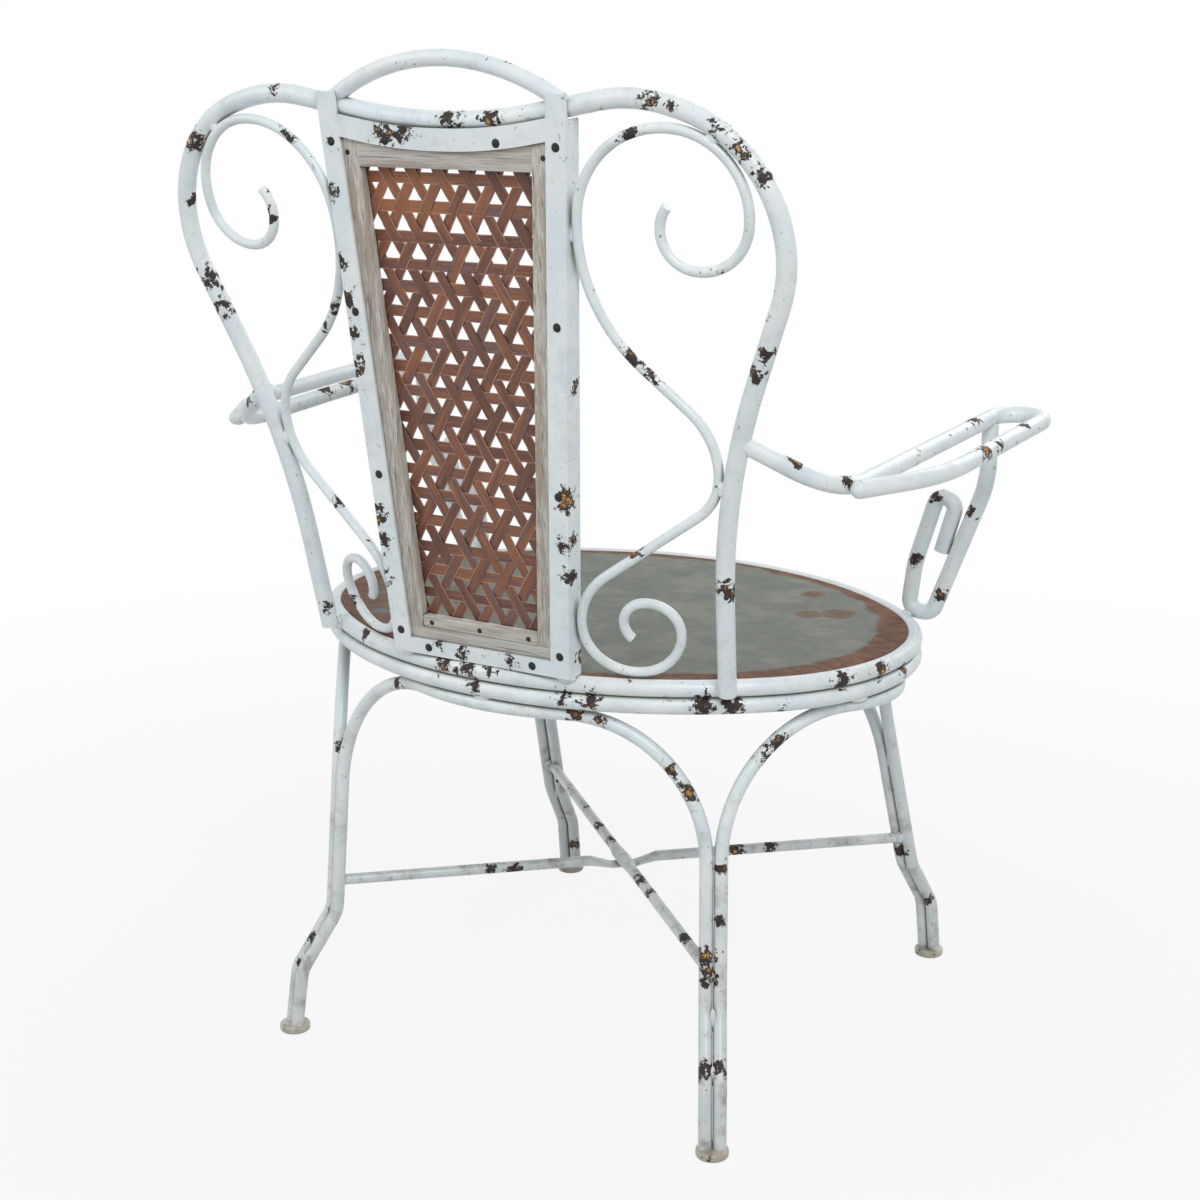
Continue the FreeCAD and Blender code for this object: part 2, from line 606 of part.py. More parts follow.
def both_sides(spots):
    """The spots and their mirror image."""
    return spots + mirrored(spots)


# Posts of angle iron: the back leg ends with the bottom plate, the side leg stands on the upper ring

LIP_LOW = "(%s / 2 + ring_rod / 2 + rod_gap - ring_rod / 2 * tan%s)" % (RING_STEP, PANEL_LEAN)
SIDES = [("left", list, post_spots), ("right", other_side, mirrored(post_spots))]
for side, flip, spots in SIDES:
    label = "panel_post_" + side
    strip = beside_post(BOTTOM_LOW, "post_top_rise", "0", "angle_width")
    post = board(label, flip(strip), "angle_wall", backwards=True)
    lip = add_sketch(post, label + "_lip_outline", "XZ_Plane")
    draw_outline(lip, flip(beside_post(LIP_LOW, "post_lip_high", "0", "angle_wall")), closed=True)
    lip_pad = post.newObject("PartDesign::Pad", label + "_lip")
    lip_pad.Profile = lip
    lip_pad.Length = size("angle_width - angle_wall")
    lip_pad.setExpression("Length", bound("angle_width - angle_wall"))
    doc.recompute()
    bore(post, label + "_holes", spots, HOLE, "angle_wall", backwards=True)
    in_panel(post)

# Plates that join the posts, the upper one with the hoop's dip

TOP_RUN = "(%s * %s)" % (SLOPE, UPRIGHT)
POST_SPREAD = "((post_half_high - post_half_low) / post_top_rise)"


def plate_end(low):
    """End of the top plate's edge: where its slope meets the post's inner edge."""
    start = "(post_half_low - angle_width + %s * (%s - %s * dip_half))" % (POST_SPREAD, low, TOP_RUN)
    across = "(%s / (1 - %s * %s))" % (start, POST_SPREAD, TOP_RUN)
    return across, "(%s + %s * (%s - dip_half))" % (low, TOP_RUN, across)


upper_edge = "(%s + top_plate_width)" % PLATE_LOW
top_right = [
    plate_end(PLATE_LOW) + (None,),
    plate_end(upper_edge) + (None,),
    ("dip_half", upper_edge, "dip_bend"),
]
low_right = [("dip_half", PLATE_LOW, "dip_bend")]
top_plate = board(
    "top_plate",
    top_right + other_side(top_right) + other_side(low_right) + low_right,
    "angle_wall",
    backwards=True,
)
bore(top_plate, "top_plate_holes", both_sides(top_spots), HOLE, "angle_wall", backwards=True)
in_panel(top_plate)
bottom_high = "(%s + bottom_plate_width)" % BOTTOM_LOW
bottom_plate = board(
    "bottom_plate", between_posts(BOTTOM_LOW, bottom_high, "angle_width"), "angle_wall", backwards=True
)
bore(bottom_plate, "bottom_plate_holes", both_sides(bottom_spots), HOLE, "angle_wall", backwards=True)
in_panel(bottom_plate)

# Wooden frame inside the angle irons: the stiles and the bottom rail stand on a strip

WOOD_OUT = "(angle_wall + wood_clearance)"
WOOD_IN = "(%s + stile_width)" % WOOD_OUT
for side, flip, spots in SIDES:
    corners = beside_post(STRIP_TOP, STILE_TOP, WOOD_OUT, WOOD_IN)
    stile = board("wood_stile_" + side, flip(corners), "wood_thickness", backwards=False)
    bore(stile, "wood_stile_%s_holes" % side, spots[1:], HOLE, PILOT, backwards=False)
    in_panel(stile)
for label, low, high, inset, spots in (
    ("wood_rail_top", OPENING_TOP, WOOD_TOP, WOOD_IN, top_spots),
    ("wood_rail_bottom", STRIP_TOP, OPENING_LOW, WOOD_IN, []),
    ("wood_strip_bottom", WOOD_LOW, STRIP_TOP, WOOD_OUT, bottom_spots + post_spots[:1]),
):
    rail = board(label, between_posts(low, high, inset), "wood_thickness", backwards=False)
    if spots:
        bore(rail, label + "_holes", both_sides(spots), HOLE, PILOT, backwards=False)
    in_panel(rail)

# Cane panel: a face with a triangular gap in every cell of its lattice


def trapezoid(low, high, inset):
    """Corners of a strip between the posts, as points of the panel's own plane."""
    front = -size("wood_thickness")
    return [Vector(size(across), front, size(up)) for across, up, _ in between_posts(low, high, inset)]


def cane_gaps():
    """Wires of the gaps that lie wholly inside the opening of the wooden frame."""
    pitch = size("cane_pitch")
    half_step = size("cane_step") / 2
    half_width = size("cane_width") / 2
    sag = size("cane_sag")
    shift = size("cane_shift")
    slant = math.atan(half_step / pitch)
    tip = half_width / math.sin(slant)
    low = size(OPENING_LOW)
    high = size(OPENING_TOP)
    first = high - size("cane_top_drop")
    drift = size("cane_drift") / (high - low)
    most = int(size("post_half_high") / half_step) + 1
    wires = []
    for row in range(int((first - low) / pitch) + 1):
        above = first - row * pitch
        below = above - pitch
        for cell in range(-most, most + 1):
            points_up = (cell + row) % 2 == 0
            tip_rise = above - tip if points_up else below + tip
            flat_rise = below - sag + half_width if points_up else above - sag - half_width
            middle = cell * half_step - shift
            spread = abs(tip_rise - flat_rise) * math.tan(slant)
            outline = [(middle, tip_rise), (middle - spread, flat_rise), (middle + spread, flat_rise)]
            outline = [(across - drift * (rise - low), rise) for across, rise in outline]
            edge = size(post_half("%r" % min(tip_rise, flat_rise), WOOD_IN))
            if all(abs(across) < edge and low < rise < high for across, rise in outline):
                corners = [Vector(across, -size("wood_thickness"), rise) for across, rise in outline]
                wires.append(Part.makePolygon(corners + corners[:1]))
    return wires


lap_low = "(%s - cane_lap)" % OPENING_LOW
lap_high = "(%s + cane_lap)" % OPENING_TOP
cane_corners = trapezoid(lap_low, lap_high, "(%s - cane_lap)" % WOOD_IN)
cane_face = Part.Face(Part.makePolygon(cane_corners + cane_corners[:1]))
gap_faces = [Part.Face(wire) for wire in cane_gaps()]
cane_face = cane_face.cut(Part.Compound(gap_faces))
cane_shape = cane_face.extrude(Vector(0, -size("cane_sheet"), 0))
cane = add_shape("cane_panel", cane_shape.Solids[0])
in_panel(cane)

# Screws and nails, turned about their own middle line


def dome_head(shank, length, head, height):
    """A screw or nail along Y: its head's flat underside at zero, its shank towards -Y."""
    crown = ((head / 2) ** 2 + height ** 2) / (2 * height)
    slope = math.asin(head / 2 / crown) / 2
    shoulder = Vector(head / 2, 0, 0)
    middle = Vector(crown * math.sin(slope), height - crown + crown * math.cos(slope), 0)
    top = Vector(0, height, 0)
    tip = Vector(0, -length, 0)
    shank_side = [Vector(shank / 2, -length, 0), Vector(shank / 2, 0, 0)] if length else []
    points = [tip] + shank_side + [shoulder]
    edges = [Part.LineSegment(a, b).toShape() for a, b in zip(points, points[1:])]
    edges += [Part.Arc(shoulder, middle, top).toShape(), Part.LineSegment(top, tip).toShape()]
    return Part.Face(Part.Wire(edges)).revolve(Vector(0, 0, 0), Vector(0, 1, 0), 360)


def scatter(label, piece, spots, back):
    """Copies of a small piece at spots of the panel's plane, as one sub-part."""
    copies = []
    for across, up in spots:
        copy = piece.copy()
        copy.translate(Vector(size(across), back, size(up)))
        copies.append(copy)
    return in_panel(add_shape(label, Part.Compound(copies)))


screw_length = size("angle_wall + wood_thickness - screw_cover")
screw = dome_head(size("screw_shank"), screw_length, size("screw_head"), size("screw_head_height"))
scatter("panel_screws", screw, both_sides(post_spots + top_spots + bottom_spots), size("angle_wall"))
nail = dome_head(0, 0, size("nail_head"), size("nail_head_height"))
NAIL_TOP = "(%s - nail_top_drop)" % STILE_TOP
NAIL_LOW = "(%s - nail_low_drop)" % OPENING_LOW
nail_spots = [(post_half(NAIL_TOP, "angle_width + nail_inset"), NAIL_TOP), ("nail_low_half", NAIL_LOW)]
scatter("wood_nails", nail, both_sides(nail_spots) + [("0", NAIL_LOW)], 0)

# Leg arches: each leg is a pair of rods, one from either arch that meets there

ARCH_HEIGHT = "(seat_height - %s - ring_rod / 2 - rod_gap - leg_rod / 2)" % RING_STEP
SPLAYS = {1: ("rear_splay_x", "rear_splay_y"), -1: ("front_splay_x", "front_splay_y")}
LEG_BACKS = {1: "rear_corner_back", -1: "front_corner_back"}


def leg_frame(right, rear):
    """Top of a leg, its horizontal direction to the foot and that distance; +1 or -1 picks the leg."""
    top = Vector(right * size("leg_corner_half"), rear * size(LEG_BACKS[rear]), size(ARCH_HEIGHT))
    splay = Vector(right * size(SPLAYS[rear][0]), rear * size(SPLAYS[rear][1]), 0)
    return top, splay / splay.Length, splay.Length


def leg_points(right, rear, sideways):
    """Corners of one rod of a leg, from its foot up, moved sideways by half the pair's pitch."""
    top, out, reach = leg_frame(right, rear)
    across = Vector(-out.y, out.x, 0) * sideways
    foot = top + out * reach
    foot.z = 0
    low = foot - out * size("knee_low_reach") + Vector(0, 0, size("knee_low"))
    high = foot - out * size("knee_high_reach") + Vector(0, 0, size("knee_high"))
    return [point + across for point in (foot, low, high, top)]


def arch_corner(first, last, outwards, ring_line):
    """Middle corner of an arch and its bend, which brings the rod under the line of the ring."""
    chord_middle = (first[-1] + last[-1]) / 2
    half = (last[-1] - first[-1]).Length / 2
    depth = ring_line - chord_middle.dot(outwards)
    lift = depth
    for _ in range(60):
        corner = chord_middle + outwards * lift
        turn = (corner - first[-1]).getAngle(first[-1] - first[-2])
        reach = size("leg_bend") * math.tan(turn / 2) + size("arch_run")
        slope = math.atan2(lift, half)
        bend = (math.hypot(half, lift) - reach) / math.tan(slope)
        lift = depth + bend * (1 / math.cos(slope) - 1)
    return corner, bend


def leg_arch(label, legs, outwards, ring_line):
    """A rod up one leg, along the underside of the seat ring and down the next leg."""
    pitch = size("(leg_rod + rod_gap) / 2")
    runs = []
    for right, rear in legs:
        _, out, _ = leg_frame(right, rear)
        sideways = math.copysign(pitch, Vector(-out.y, out.x, 0).dot(outwards))
        runs.append(leg_points(right, rear, sideways))
    corner, middle_bend = arch_corner(*runs, outwards, ring_line)
    knee = size("knee_bend")
    bends = [knee, knee, size("leg_bend"), middle_bend, size("leg_bend"), knee, knee]
    rod = rod_solid(rounded_path(runs[0] + [corner] + runs[1][::-1], bends), size("leg_rod"))
    reach = 4 * size("ring_half_width")
    below = Part.makeBox(reach, reach, size("foot_height + leg_rod"))
    below.translate(Vector(-reach / 2, -reach / 2, -size("leg_rod")))
    return add_shape(label, rod.cut(below))


half_width = size("ring_half_width")
half_depth = size("ring_half_depth")
arches = [
    leg_arch("leg_arch_rear", [(1, 1), (-1, 1)], Vector(0, 1, 0), half_depth),
    leg_arch("leg_arch_front", [(-1, -1), (1, -1)], Vector(0, -1, 0), half_depth),
    leg_arch("leg_arch_left", [(1, -1), (1, 1)], Vector(1, 0, 0), half_width),
    leg_arch("leg_arch_right", [(-1, 1), (-1, -1)], Vector(-1, 0, 0), half_width),
]

# Foot pads: rounded discs under the legs

for name, right, rear in (
    ("rear_left", 1, 1),
    ("rear_right", -1, 1),
    ("front_left", 1, -1),
    ("front_right", -1, -1),
):
    pad = doc.addObject("PartDesign::Body", "foot_pad_" + name)
    profile = add_sketch(pad, pad.Label + "_profile", "XZ_Plane")
    rim = [
        ("0", "0", None),
        ("foot_diameter / 2", "0", "foot_round"),
        ("foot_diameter / 2", "foot_height", "foot_round"),
        ("0", "foot_height", None),
    ]
    draw_outline(profile, rim, closed=True)
    turning = pad.newObject("PartDesign::Revolution", pad.Label + "_turning")
    turning.Profile = profile
    turning.ReferenceAxis = (profile, ["V_Axis"])
    turning.Angle = 360
    splay_x, splay_y = SPLAYS[rear]
    short = "(1 - knee_low_reach * foot_height / knee_low / sqrt(%s^2 + %s^2))" % (splay_x, splay_y)
    across = "%d * (leg_corner_half + %s * %s)" % (right, splay_x, short)
    along = "%d * (%s + %s * %s)" % (rear, LEG_BACKS[rear], splay_y, short)
    pad.Placement = Placement(Vector(size(across), size(along), 0), Rotation())
    pad.setExpression("Placement.Base.x", bound(across))
    pad.setExpression("Placement.Base.y", bound(along))
doc.recompute()

# Crossed braces between the legs, beaten flat where one lies on the other


def brace_end(right, rear):
    """Middle of a leg pair at the height of the braces."""
    top, out, reach = leg_frame(right, rear)
    share = (top.z - size("brace_height")) / (top.z - size("knee_high"))
    spot = top + out * (reach - size("knee_high_reach")) * share
    spot.z = size("brace_height")
    return spot


def flat_section(middle, heading, wide, tall):
    """Upright section of a brace: a circle, or an ellipse where it is beaten flat."""
    across = Vector(-heading.y, heading.x, 0).normalize()
    if wide == tall:
        circle = Part.Circle(middle, heading, wide / 2)
        circle.XAxis = across
        return Part.Wire(circle.toShape())
    ellipse = Part.Ellipse(middle + across * (wide / 2), middle + Vector(0, 0, tall / 2), middle)
    return Part.Wire(ellipse.toShape())


def brace(label, start, end, crossing, drop):
    """A brace from leg to leg, lower by drop at the flat, with its ends fitted to the legs."""
    heading = (end - start).normalize()
    rod = size("brace_rod")
    flat = size("brace_flat_length") / 2
    taper = flat + size("brace_taper")
    dip = Vector(0, 0, -drop)
    wide, tall = size("brace_flat_width"), size("brace_flat")
    setback = heading * size("brace_setback")
    sections = [
        flat_section(start + setback, heading, rod, rod),
        flat_section(crossing - heading * taper, heading, rod, rod),
        flat_section(crossing - heading * flat + dip, heading, wide, tall),
        flat_section(crossing + heading * flat + dip, heading, wide, tall),
        flat_section(crossing + heading * taper, heading, rod, rod),
        flat_section(end - setback, heading, rod, rod),
    ]
    shape = Part.makeLoft(sections, True, True)
    for arch in arches:
        shape = shape.cut(arch.Shape)
    return add_shape(label, shape)


corners = {name: brace_end(*name) for name in ((1, 1), (-1, 1), (1, -1), (-1, -1))}
first = corners[1, 1] - corners[-1, -1]
second = corners[-1, 1] - corners[1, -1]
between = corners[1, -1] - corners[-1, -1]
crossing = corners[-1, -1] + first * (between.cross(second).z / first.cross(second).z)
brace("brace_upper", corners[1, -1], corners[-1, 1], crossing, 0)
brace("brace_lower", corners[-1, -1], corners[1, 1], crossing, size("brace_flat + rod_gap"))

# Arm loops: a rod from the hoop forwards, round the front and back along the outside


def reach_out(line, place, distance):
    """The point at a distance from a line, in the direction of a place beside it."""
    nearest = line.distToShape(Part.Vertex(place))[1][0][0]
    return nearest + (place - nearest).normalize() * distance


def arm_place(across, back, rise):
    """A point of the arm's route, its height measured from the rings."""
    return Vector(size(across), size(back), size("%s + %s" % (RING_JOINT, rise)))


arm_places = [
    hoop.Placement.multVec(hoop_spot(size("arm_joint_rise"))),
    arm_place("arm_elbow_x", "arm_elbow_y", "arm_elbow_rise"),
    arm_place("arm_inner_x", "-arm_front_y", "arm_front_rise"),
    arm_place("arm_inner_x + arm_spread", "-arm_front_y", "arm_front_rise"),
    arm_place("arm_inner_x + arm_spread", "arm_return_y", "arm_return_rise"),
]
arm_bends = [size("arm_elbow_bend"), size("arm_front_bend"), size("arm_front_bend")]
inner_strand = Part.Wire(rounded_path(arm_places[:3] + arm_places[3:4], arm_bends[:2]))
arm_guess = arm_place("arm_inner_x + arm_end_reach", "arm_end_y", "arm_end_rise")
arm_end = reach_out(inner_strand, arm_guess, size("arm_rod + rod_gap"))
arm_edges = rounded_path(arm_places + [arm_end], arm_bends + [size("arm_return_bend")])
arm_shape = rod_solid(arm_edges, size("arm_rod")).cut(hoop.Shape)
arms = add_pair("arm_loop", arm_shape)

# Arm supports: each rod stands on the seat ring, curls over and leans on itself

STRAND_SHARE = "((support_y + arm_elbow_y) / (arm_front_y + arm_elbow_y))"
STRAND_RISE = "(arm_elbow_rise + (arm_front_rise - arm_elbow_rise) * %s)" % STRAND_SHARE
RING_END = "(ring_half_width - ring_end_radius + sqrt(ring_end_radius^2 - support_y^2))"
FOOT_INNER = "(%s + support_foot_reach)" % RING_END
CURL_INNER = "(%s + support_curl_reach)" % FOOT_INNER
SUPPORT = [
    ("arm_inner_x", STRAND_RISE, None),
    ("arm_inner_x", "support_bow_rise", "support_bow_bend"),
    ("(%s + support_foot_width)" % FOOT_INNER, "support_foot_rise", "support_foot_bend"),
    (FOOT_INNER, "support_foot_rise", "support_foot_bend"),
    ("(%s + support_waist_reach)" % FOOT_INNER, "support_waist_rise", "support_waist_bend"),
    (CURL_INNER, "support_curl_rise", "support_curl_bend"),
    ("(%s + support_curl_width)" % CURL_INNER, "support_curl_rise", "support_curl_bend"),
    ("(%s + support_end_reach)" % CURL_INNER, "support_end_rise", None),
]


def settle(line, ring_line, clearance):
    """How far a line has to sink until it lies at a clearance from the ring's line."""
    high, low = -clearance, clearance
    for _ in range(30):
        sink = (high + low) / 2
        moved = line.copy()
        moved.translate(Vector(0, 0, -sink))
        if moved.distToShape(ring_line)[0] > clearance:
            high = sink
        else:
            low = sink
    return sink


ring_line = doc.getObject("seat_ring_upper_path").Shape.copy()
ring_line.translate(Vector(0, 0, size("seat_height")))
for side, corners_of, arm in (("left", SUPPORT, arms[0]), ("right", other_side(SUPPORT), arms[1])):
    rod = rod_body("arm_support_rod_" + side, "XZ_Plane", corners_of, "support_rod")
    line = doc.getObject(rod.Label + "_path").Shape.copy()
    line.translate(Vector(0, -size("support_y"), size(RING_JOINT)))
    sink = settle(line, ring_line, size("(ring_rod + support_rod) / 2 + rod_gap"))
    rod.Placement = Placement(Vector(0, -size("support_y"), size(RING_JOINT) - sink), Rotation())
    rod.setExpression("Placement.Base.y", bound("-support_y"))
    support = doc.addObject("Part::Cut", "arm_support_" + side)
    support.Base = rod
    support.Tool = arm
doc.recompute()

# Back scrolls: from a knuckle on the hoop to a spiral above and a spiral below, beside the post

panel_turn = cane.Placement.Rotation
post_angle = math.atan(size(POST_SPREAD))
post_side = panel_turn.multVec(Vector(math.cos(post_angle), 0, -math.sin(post_angle)))
post_foot = cane.Placement.multVec(Vector(size("post_half_low"), 0, 0))


def scroll_half(up, tilt, slope, bend, post_bend, flare):
    """Half a scroll without its spiral, and its heading and plane at the end.

    Its straight part is as long as it takes to meet the post.
    """
    rise = size("knuckle_rise")
    step = size("hoop_rod") / 10
    along = (hoop_spot(rise + step) - hoop_spot(rise - step)).normalize()
    inward = Vector(-along.z, 0, along.x)
    start = hoop_spot(rise) + inward * size("(hoop_rod + scroll_rod) / 2 + rod_gap")
    lean = math.degrees(math.atan2(along.x, along.z))
    face = hoop.Placement.Rotation
    heading = face.multVec(along if up else -along)
    side = Rotation(face.multVec(along), -tilt).multVec(face.multVec(inward))
    normal = heading.cross(side)
    moves = [(bend, slope + lean if up else slope - lean), (post_bend, -slope - flare)]
    trial = turned_path(hoop.Placement.multVec(start), heading, normal, moves)
    run = trial[0].tangentAt(trial[0].LastParameter)
    room = min((point - post_foot).dot(post_side) for point in trial[1].discretize(200))
    moves.insert(1, (room - size("scroll_rod / 2 + rod_gap")) / -run.dot(post_side))
    edges = turned_path(hoop.Placement.multVec(start), heading, normal, moves)
    return edges, edges[-1].tangentAt(edges[-1].LastParameter), normal


def curl_up(half, spiral, neighbour, clearance):
    """Add a spiral to half a scroll, as large as fits at a clearance from its neighbour's line."""
    edges, heading, normal = half
    start = edges[-1].valueAt(edges[-1].LastParameter)
    low, high = 0, (size("hoop_side_half") + size("hoop_top_rise")) / 2
    for _ in range(40):
        first = (low + high) / 2
        curl = turned_path(start, heading, normal, [(first * share, -turn) for share, turn in spiral])
        if Part.Wire(curl).distToShape(neighbour)[0] > clearance:
            low = first
        else:
            high = first
    return edges + curl


hoop_path = hoop_line.copy()
hoop_path.Placement = hoop.Placement.multiply(hoop_path.Placement)
upper_half = scroll_half(
    True,
    size("scroll_upper_tilt"),
    size("scroll_upper_turn"),
    size("scroll_upper_bend"),
    size("scroll_post_bend"),
    size("scroll_flare"),
)
lower_half = scroll_half(
    False,
    size("scroll_lower_tilt"),
    size("scroll_lower_turn"),
    size("scroll_lower_bend"),
    size("scroll_foot_bend"),
    0,
)
upper_clearance = size("(hoop_rod + scroll_rod) / 2 + rod_gap")
lower_clearance = size("(ring_rod + scroll_rod) / 2 + scroll_ring_gap")
scroll_edges = curl_up(upper_half, UPPER_SPIRAL, hoop_path, upper_clearance)
scroll_edges += curl_up(lower_half, LOWER_SPIRAL, ring_line, lower_clearance)
add_pair("scroll", rod_solid(scroll_edges, size("scroll_rod")))

# Checks, then one file for each sub-part

doc.recompute()
for item in doc.Objects:
    if "Invalid" in item.State or "Error" in item.State:
        raise ValueError("%s failed: %s" % (item.Label, item.State))
blanks = [item.Base for item in doc.Objects if item.TypeId == "Part::Cut"]
kinds = ("PartDesign::Body", "Part::Cut", "Part::Feature")
nodes = [item for item in doc.Objects if item.TypeId in kinds and item not in blanks]
for node in nodes:
    if node.Shape.isNull() or not node.Shape.isValid() or not node.Shape.Solids:
        raise ValueError("%s has no valid solid" % node.Label)
os.makedirs("parts", exist_ok=True)
for node in nodes:
    node.Shape.exportStep("parts/%s.step" % node.Label)
print("%d sub-parts written" % len(nodes))
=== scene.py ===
"""Looks of a garden armchair: chipped pale paint on bent steel rod, a cane back in a wooden frame, a zinc seat."""
import logging
import math
from dataclasses import dataclass, field
from enum import Enum
from typing import Any, Callable, Dict, Iterable, Sequence, Tuple, Union

import bpy
from mathutils import Matrix, Vector


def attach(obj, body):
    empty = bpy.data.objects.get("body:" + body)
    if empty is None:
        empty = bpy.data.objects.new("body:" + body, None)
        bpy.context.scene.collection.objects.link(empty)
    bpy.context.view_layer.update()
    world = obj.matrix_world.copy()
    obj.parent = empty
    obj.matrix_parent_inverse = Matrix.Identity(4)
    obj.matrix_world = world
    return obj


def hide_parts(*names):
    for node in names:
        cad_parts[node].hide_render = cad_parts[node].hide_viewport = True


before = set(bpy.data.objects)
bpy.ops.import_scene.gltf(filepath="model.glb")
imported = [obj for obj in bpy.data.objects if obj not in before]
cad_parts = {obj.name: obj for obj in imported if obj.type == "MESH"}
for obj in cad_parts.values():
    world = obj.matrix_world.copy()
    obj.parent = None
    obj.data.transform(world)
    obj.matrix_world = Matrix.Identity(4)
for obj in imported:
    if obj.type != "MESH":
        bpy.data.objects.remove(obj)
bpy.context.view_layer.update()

log = logging.getLogger("garden_armchair")

# A spot is a middle and a reach in millimetres, a noise is its scale, detail and roughness,
# a band is where a smooth step starts and where it ends, and a pair is two numbers of one kind.
Point = Tuple[float, float, float]
Colour = Tuple[float, float, float]
Spot = Tuple[int, int, int, int]
Noise = Tuple[float, float, float]
Band = Tuple[float, float]
Pair = Tuple[float, float]

MILLIMETRES = 1000
MIDDLE = 0.5
WHITE = (1.0, 1.0, 1.0, 1.0)


class Flow:
    """A shader socket that can be used in Python expressions, which add Math nodes."""

    def __init__(self, recipe: "Recipe", socket: bpy.types.NodeSocket) -> None:
        """Wrap a socket of a recipe."""
        self.recipe = recipe
        self.socket = socket

    def _math(self, operation: str, first: Any, second: Any = 0.0) -> "Flow":
        """Add one Math node."""
        return self.recipe.node("ShaderNodeMath", {"operation": operation}, {0: first, 1: second})

    def __add__(self, other: Any) -> "Flow":
        """Sum."""
        return self._math("ADD", self, other)

    def __radd__(self, other: Any) -> "Flow":
        """Sum with a number in front."""
        return self._math("ADD", other, self)

    def __sub__(self, other: Any) -> "Flow":
        """Difference."""
        return self._math("SUBTRACT", self, other)

    def __rsub__(self, other: Any) -> "Flow":
        """Difference from a number in front."""
        return self._math("SUBTRACT", other, self)

    def __mul__(self, other: Any) -> "Flow":
        """Product."""
        return self._math("MULTIPLY", self, other)

    def __rmul__(self, other: Any) -> "Flow":
        """Product with a number in front."""
        return self._math("MULTIPLY", other, self)

    def __abs__(self) -> "Flow":
        """Size without its sign."""
        return self._math("ABSOLUTE", self)

    def most(self, other: Any) -> "Flow":
        """The greater of two values."""
        return self._math("MAXIMUM", self, other)

    def whole(self) -> "Flow":
        """Whole part of a value."""
        return self._math("FLOOR", self)

    def rest(self) -> "Flow":
        """What a value has beyond its whole part."""
        return self._math("FRACT", self)

    def axis(self, index: int) -> "Flow":
        """One coordinate of a vector."""
        return self.recipe.node("ShaderNodeSeparateXYZ", {}, {0: self}, index)


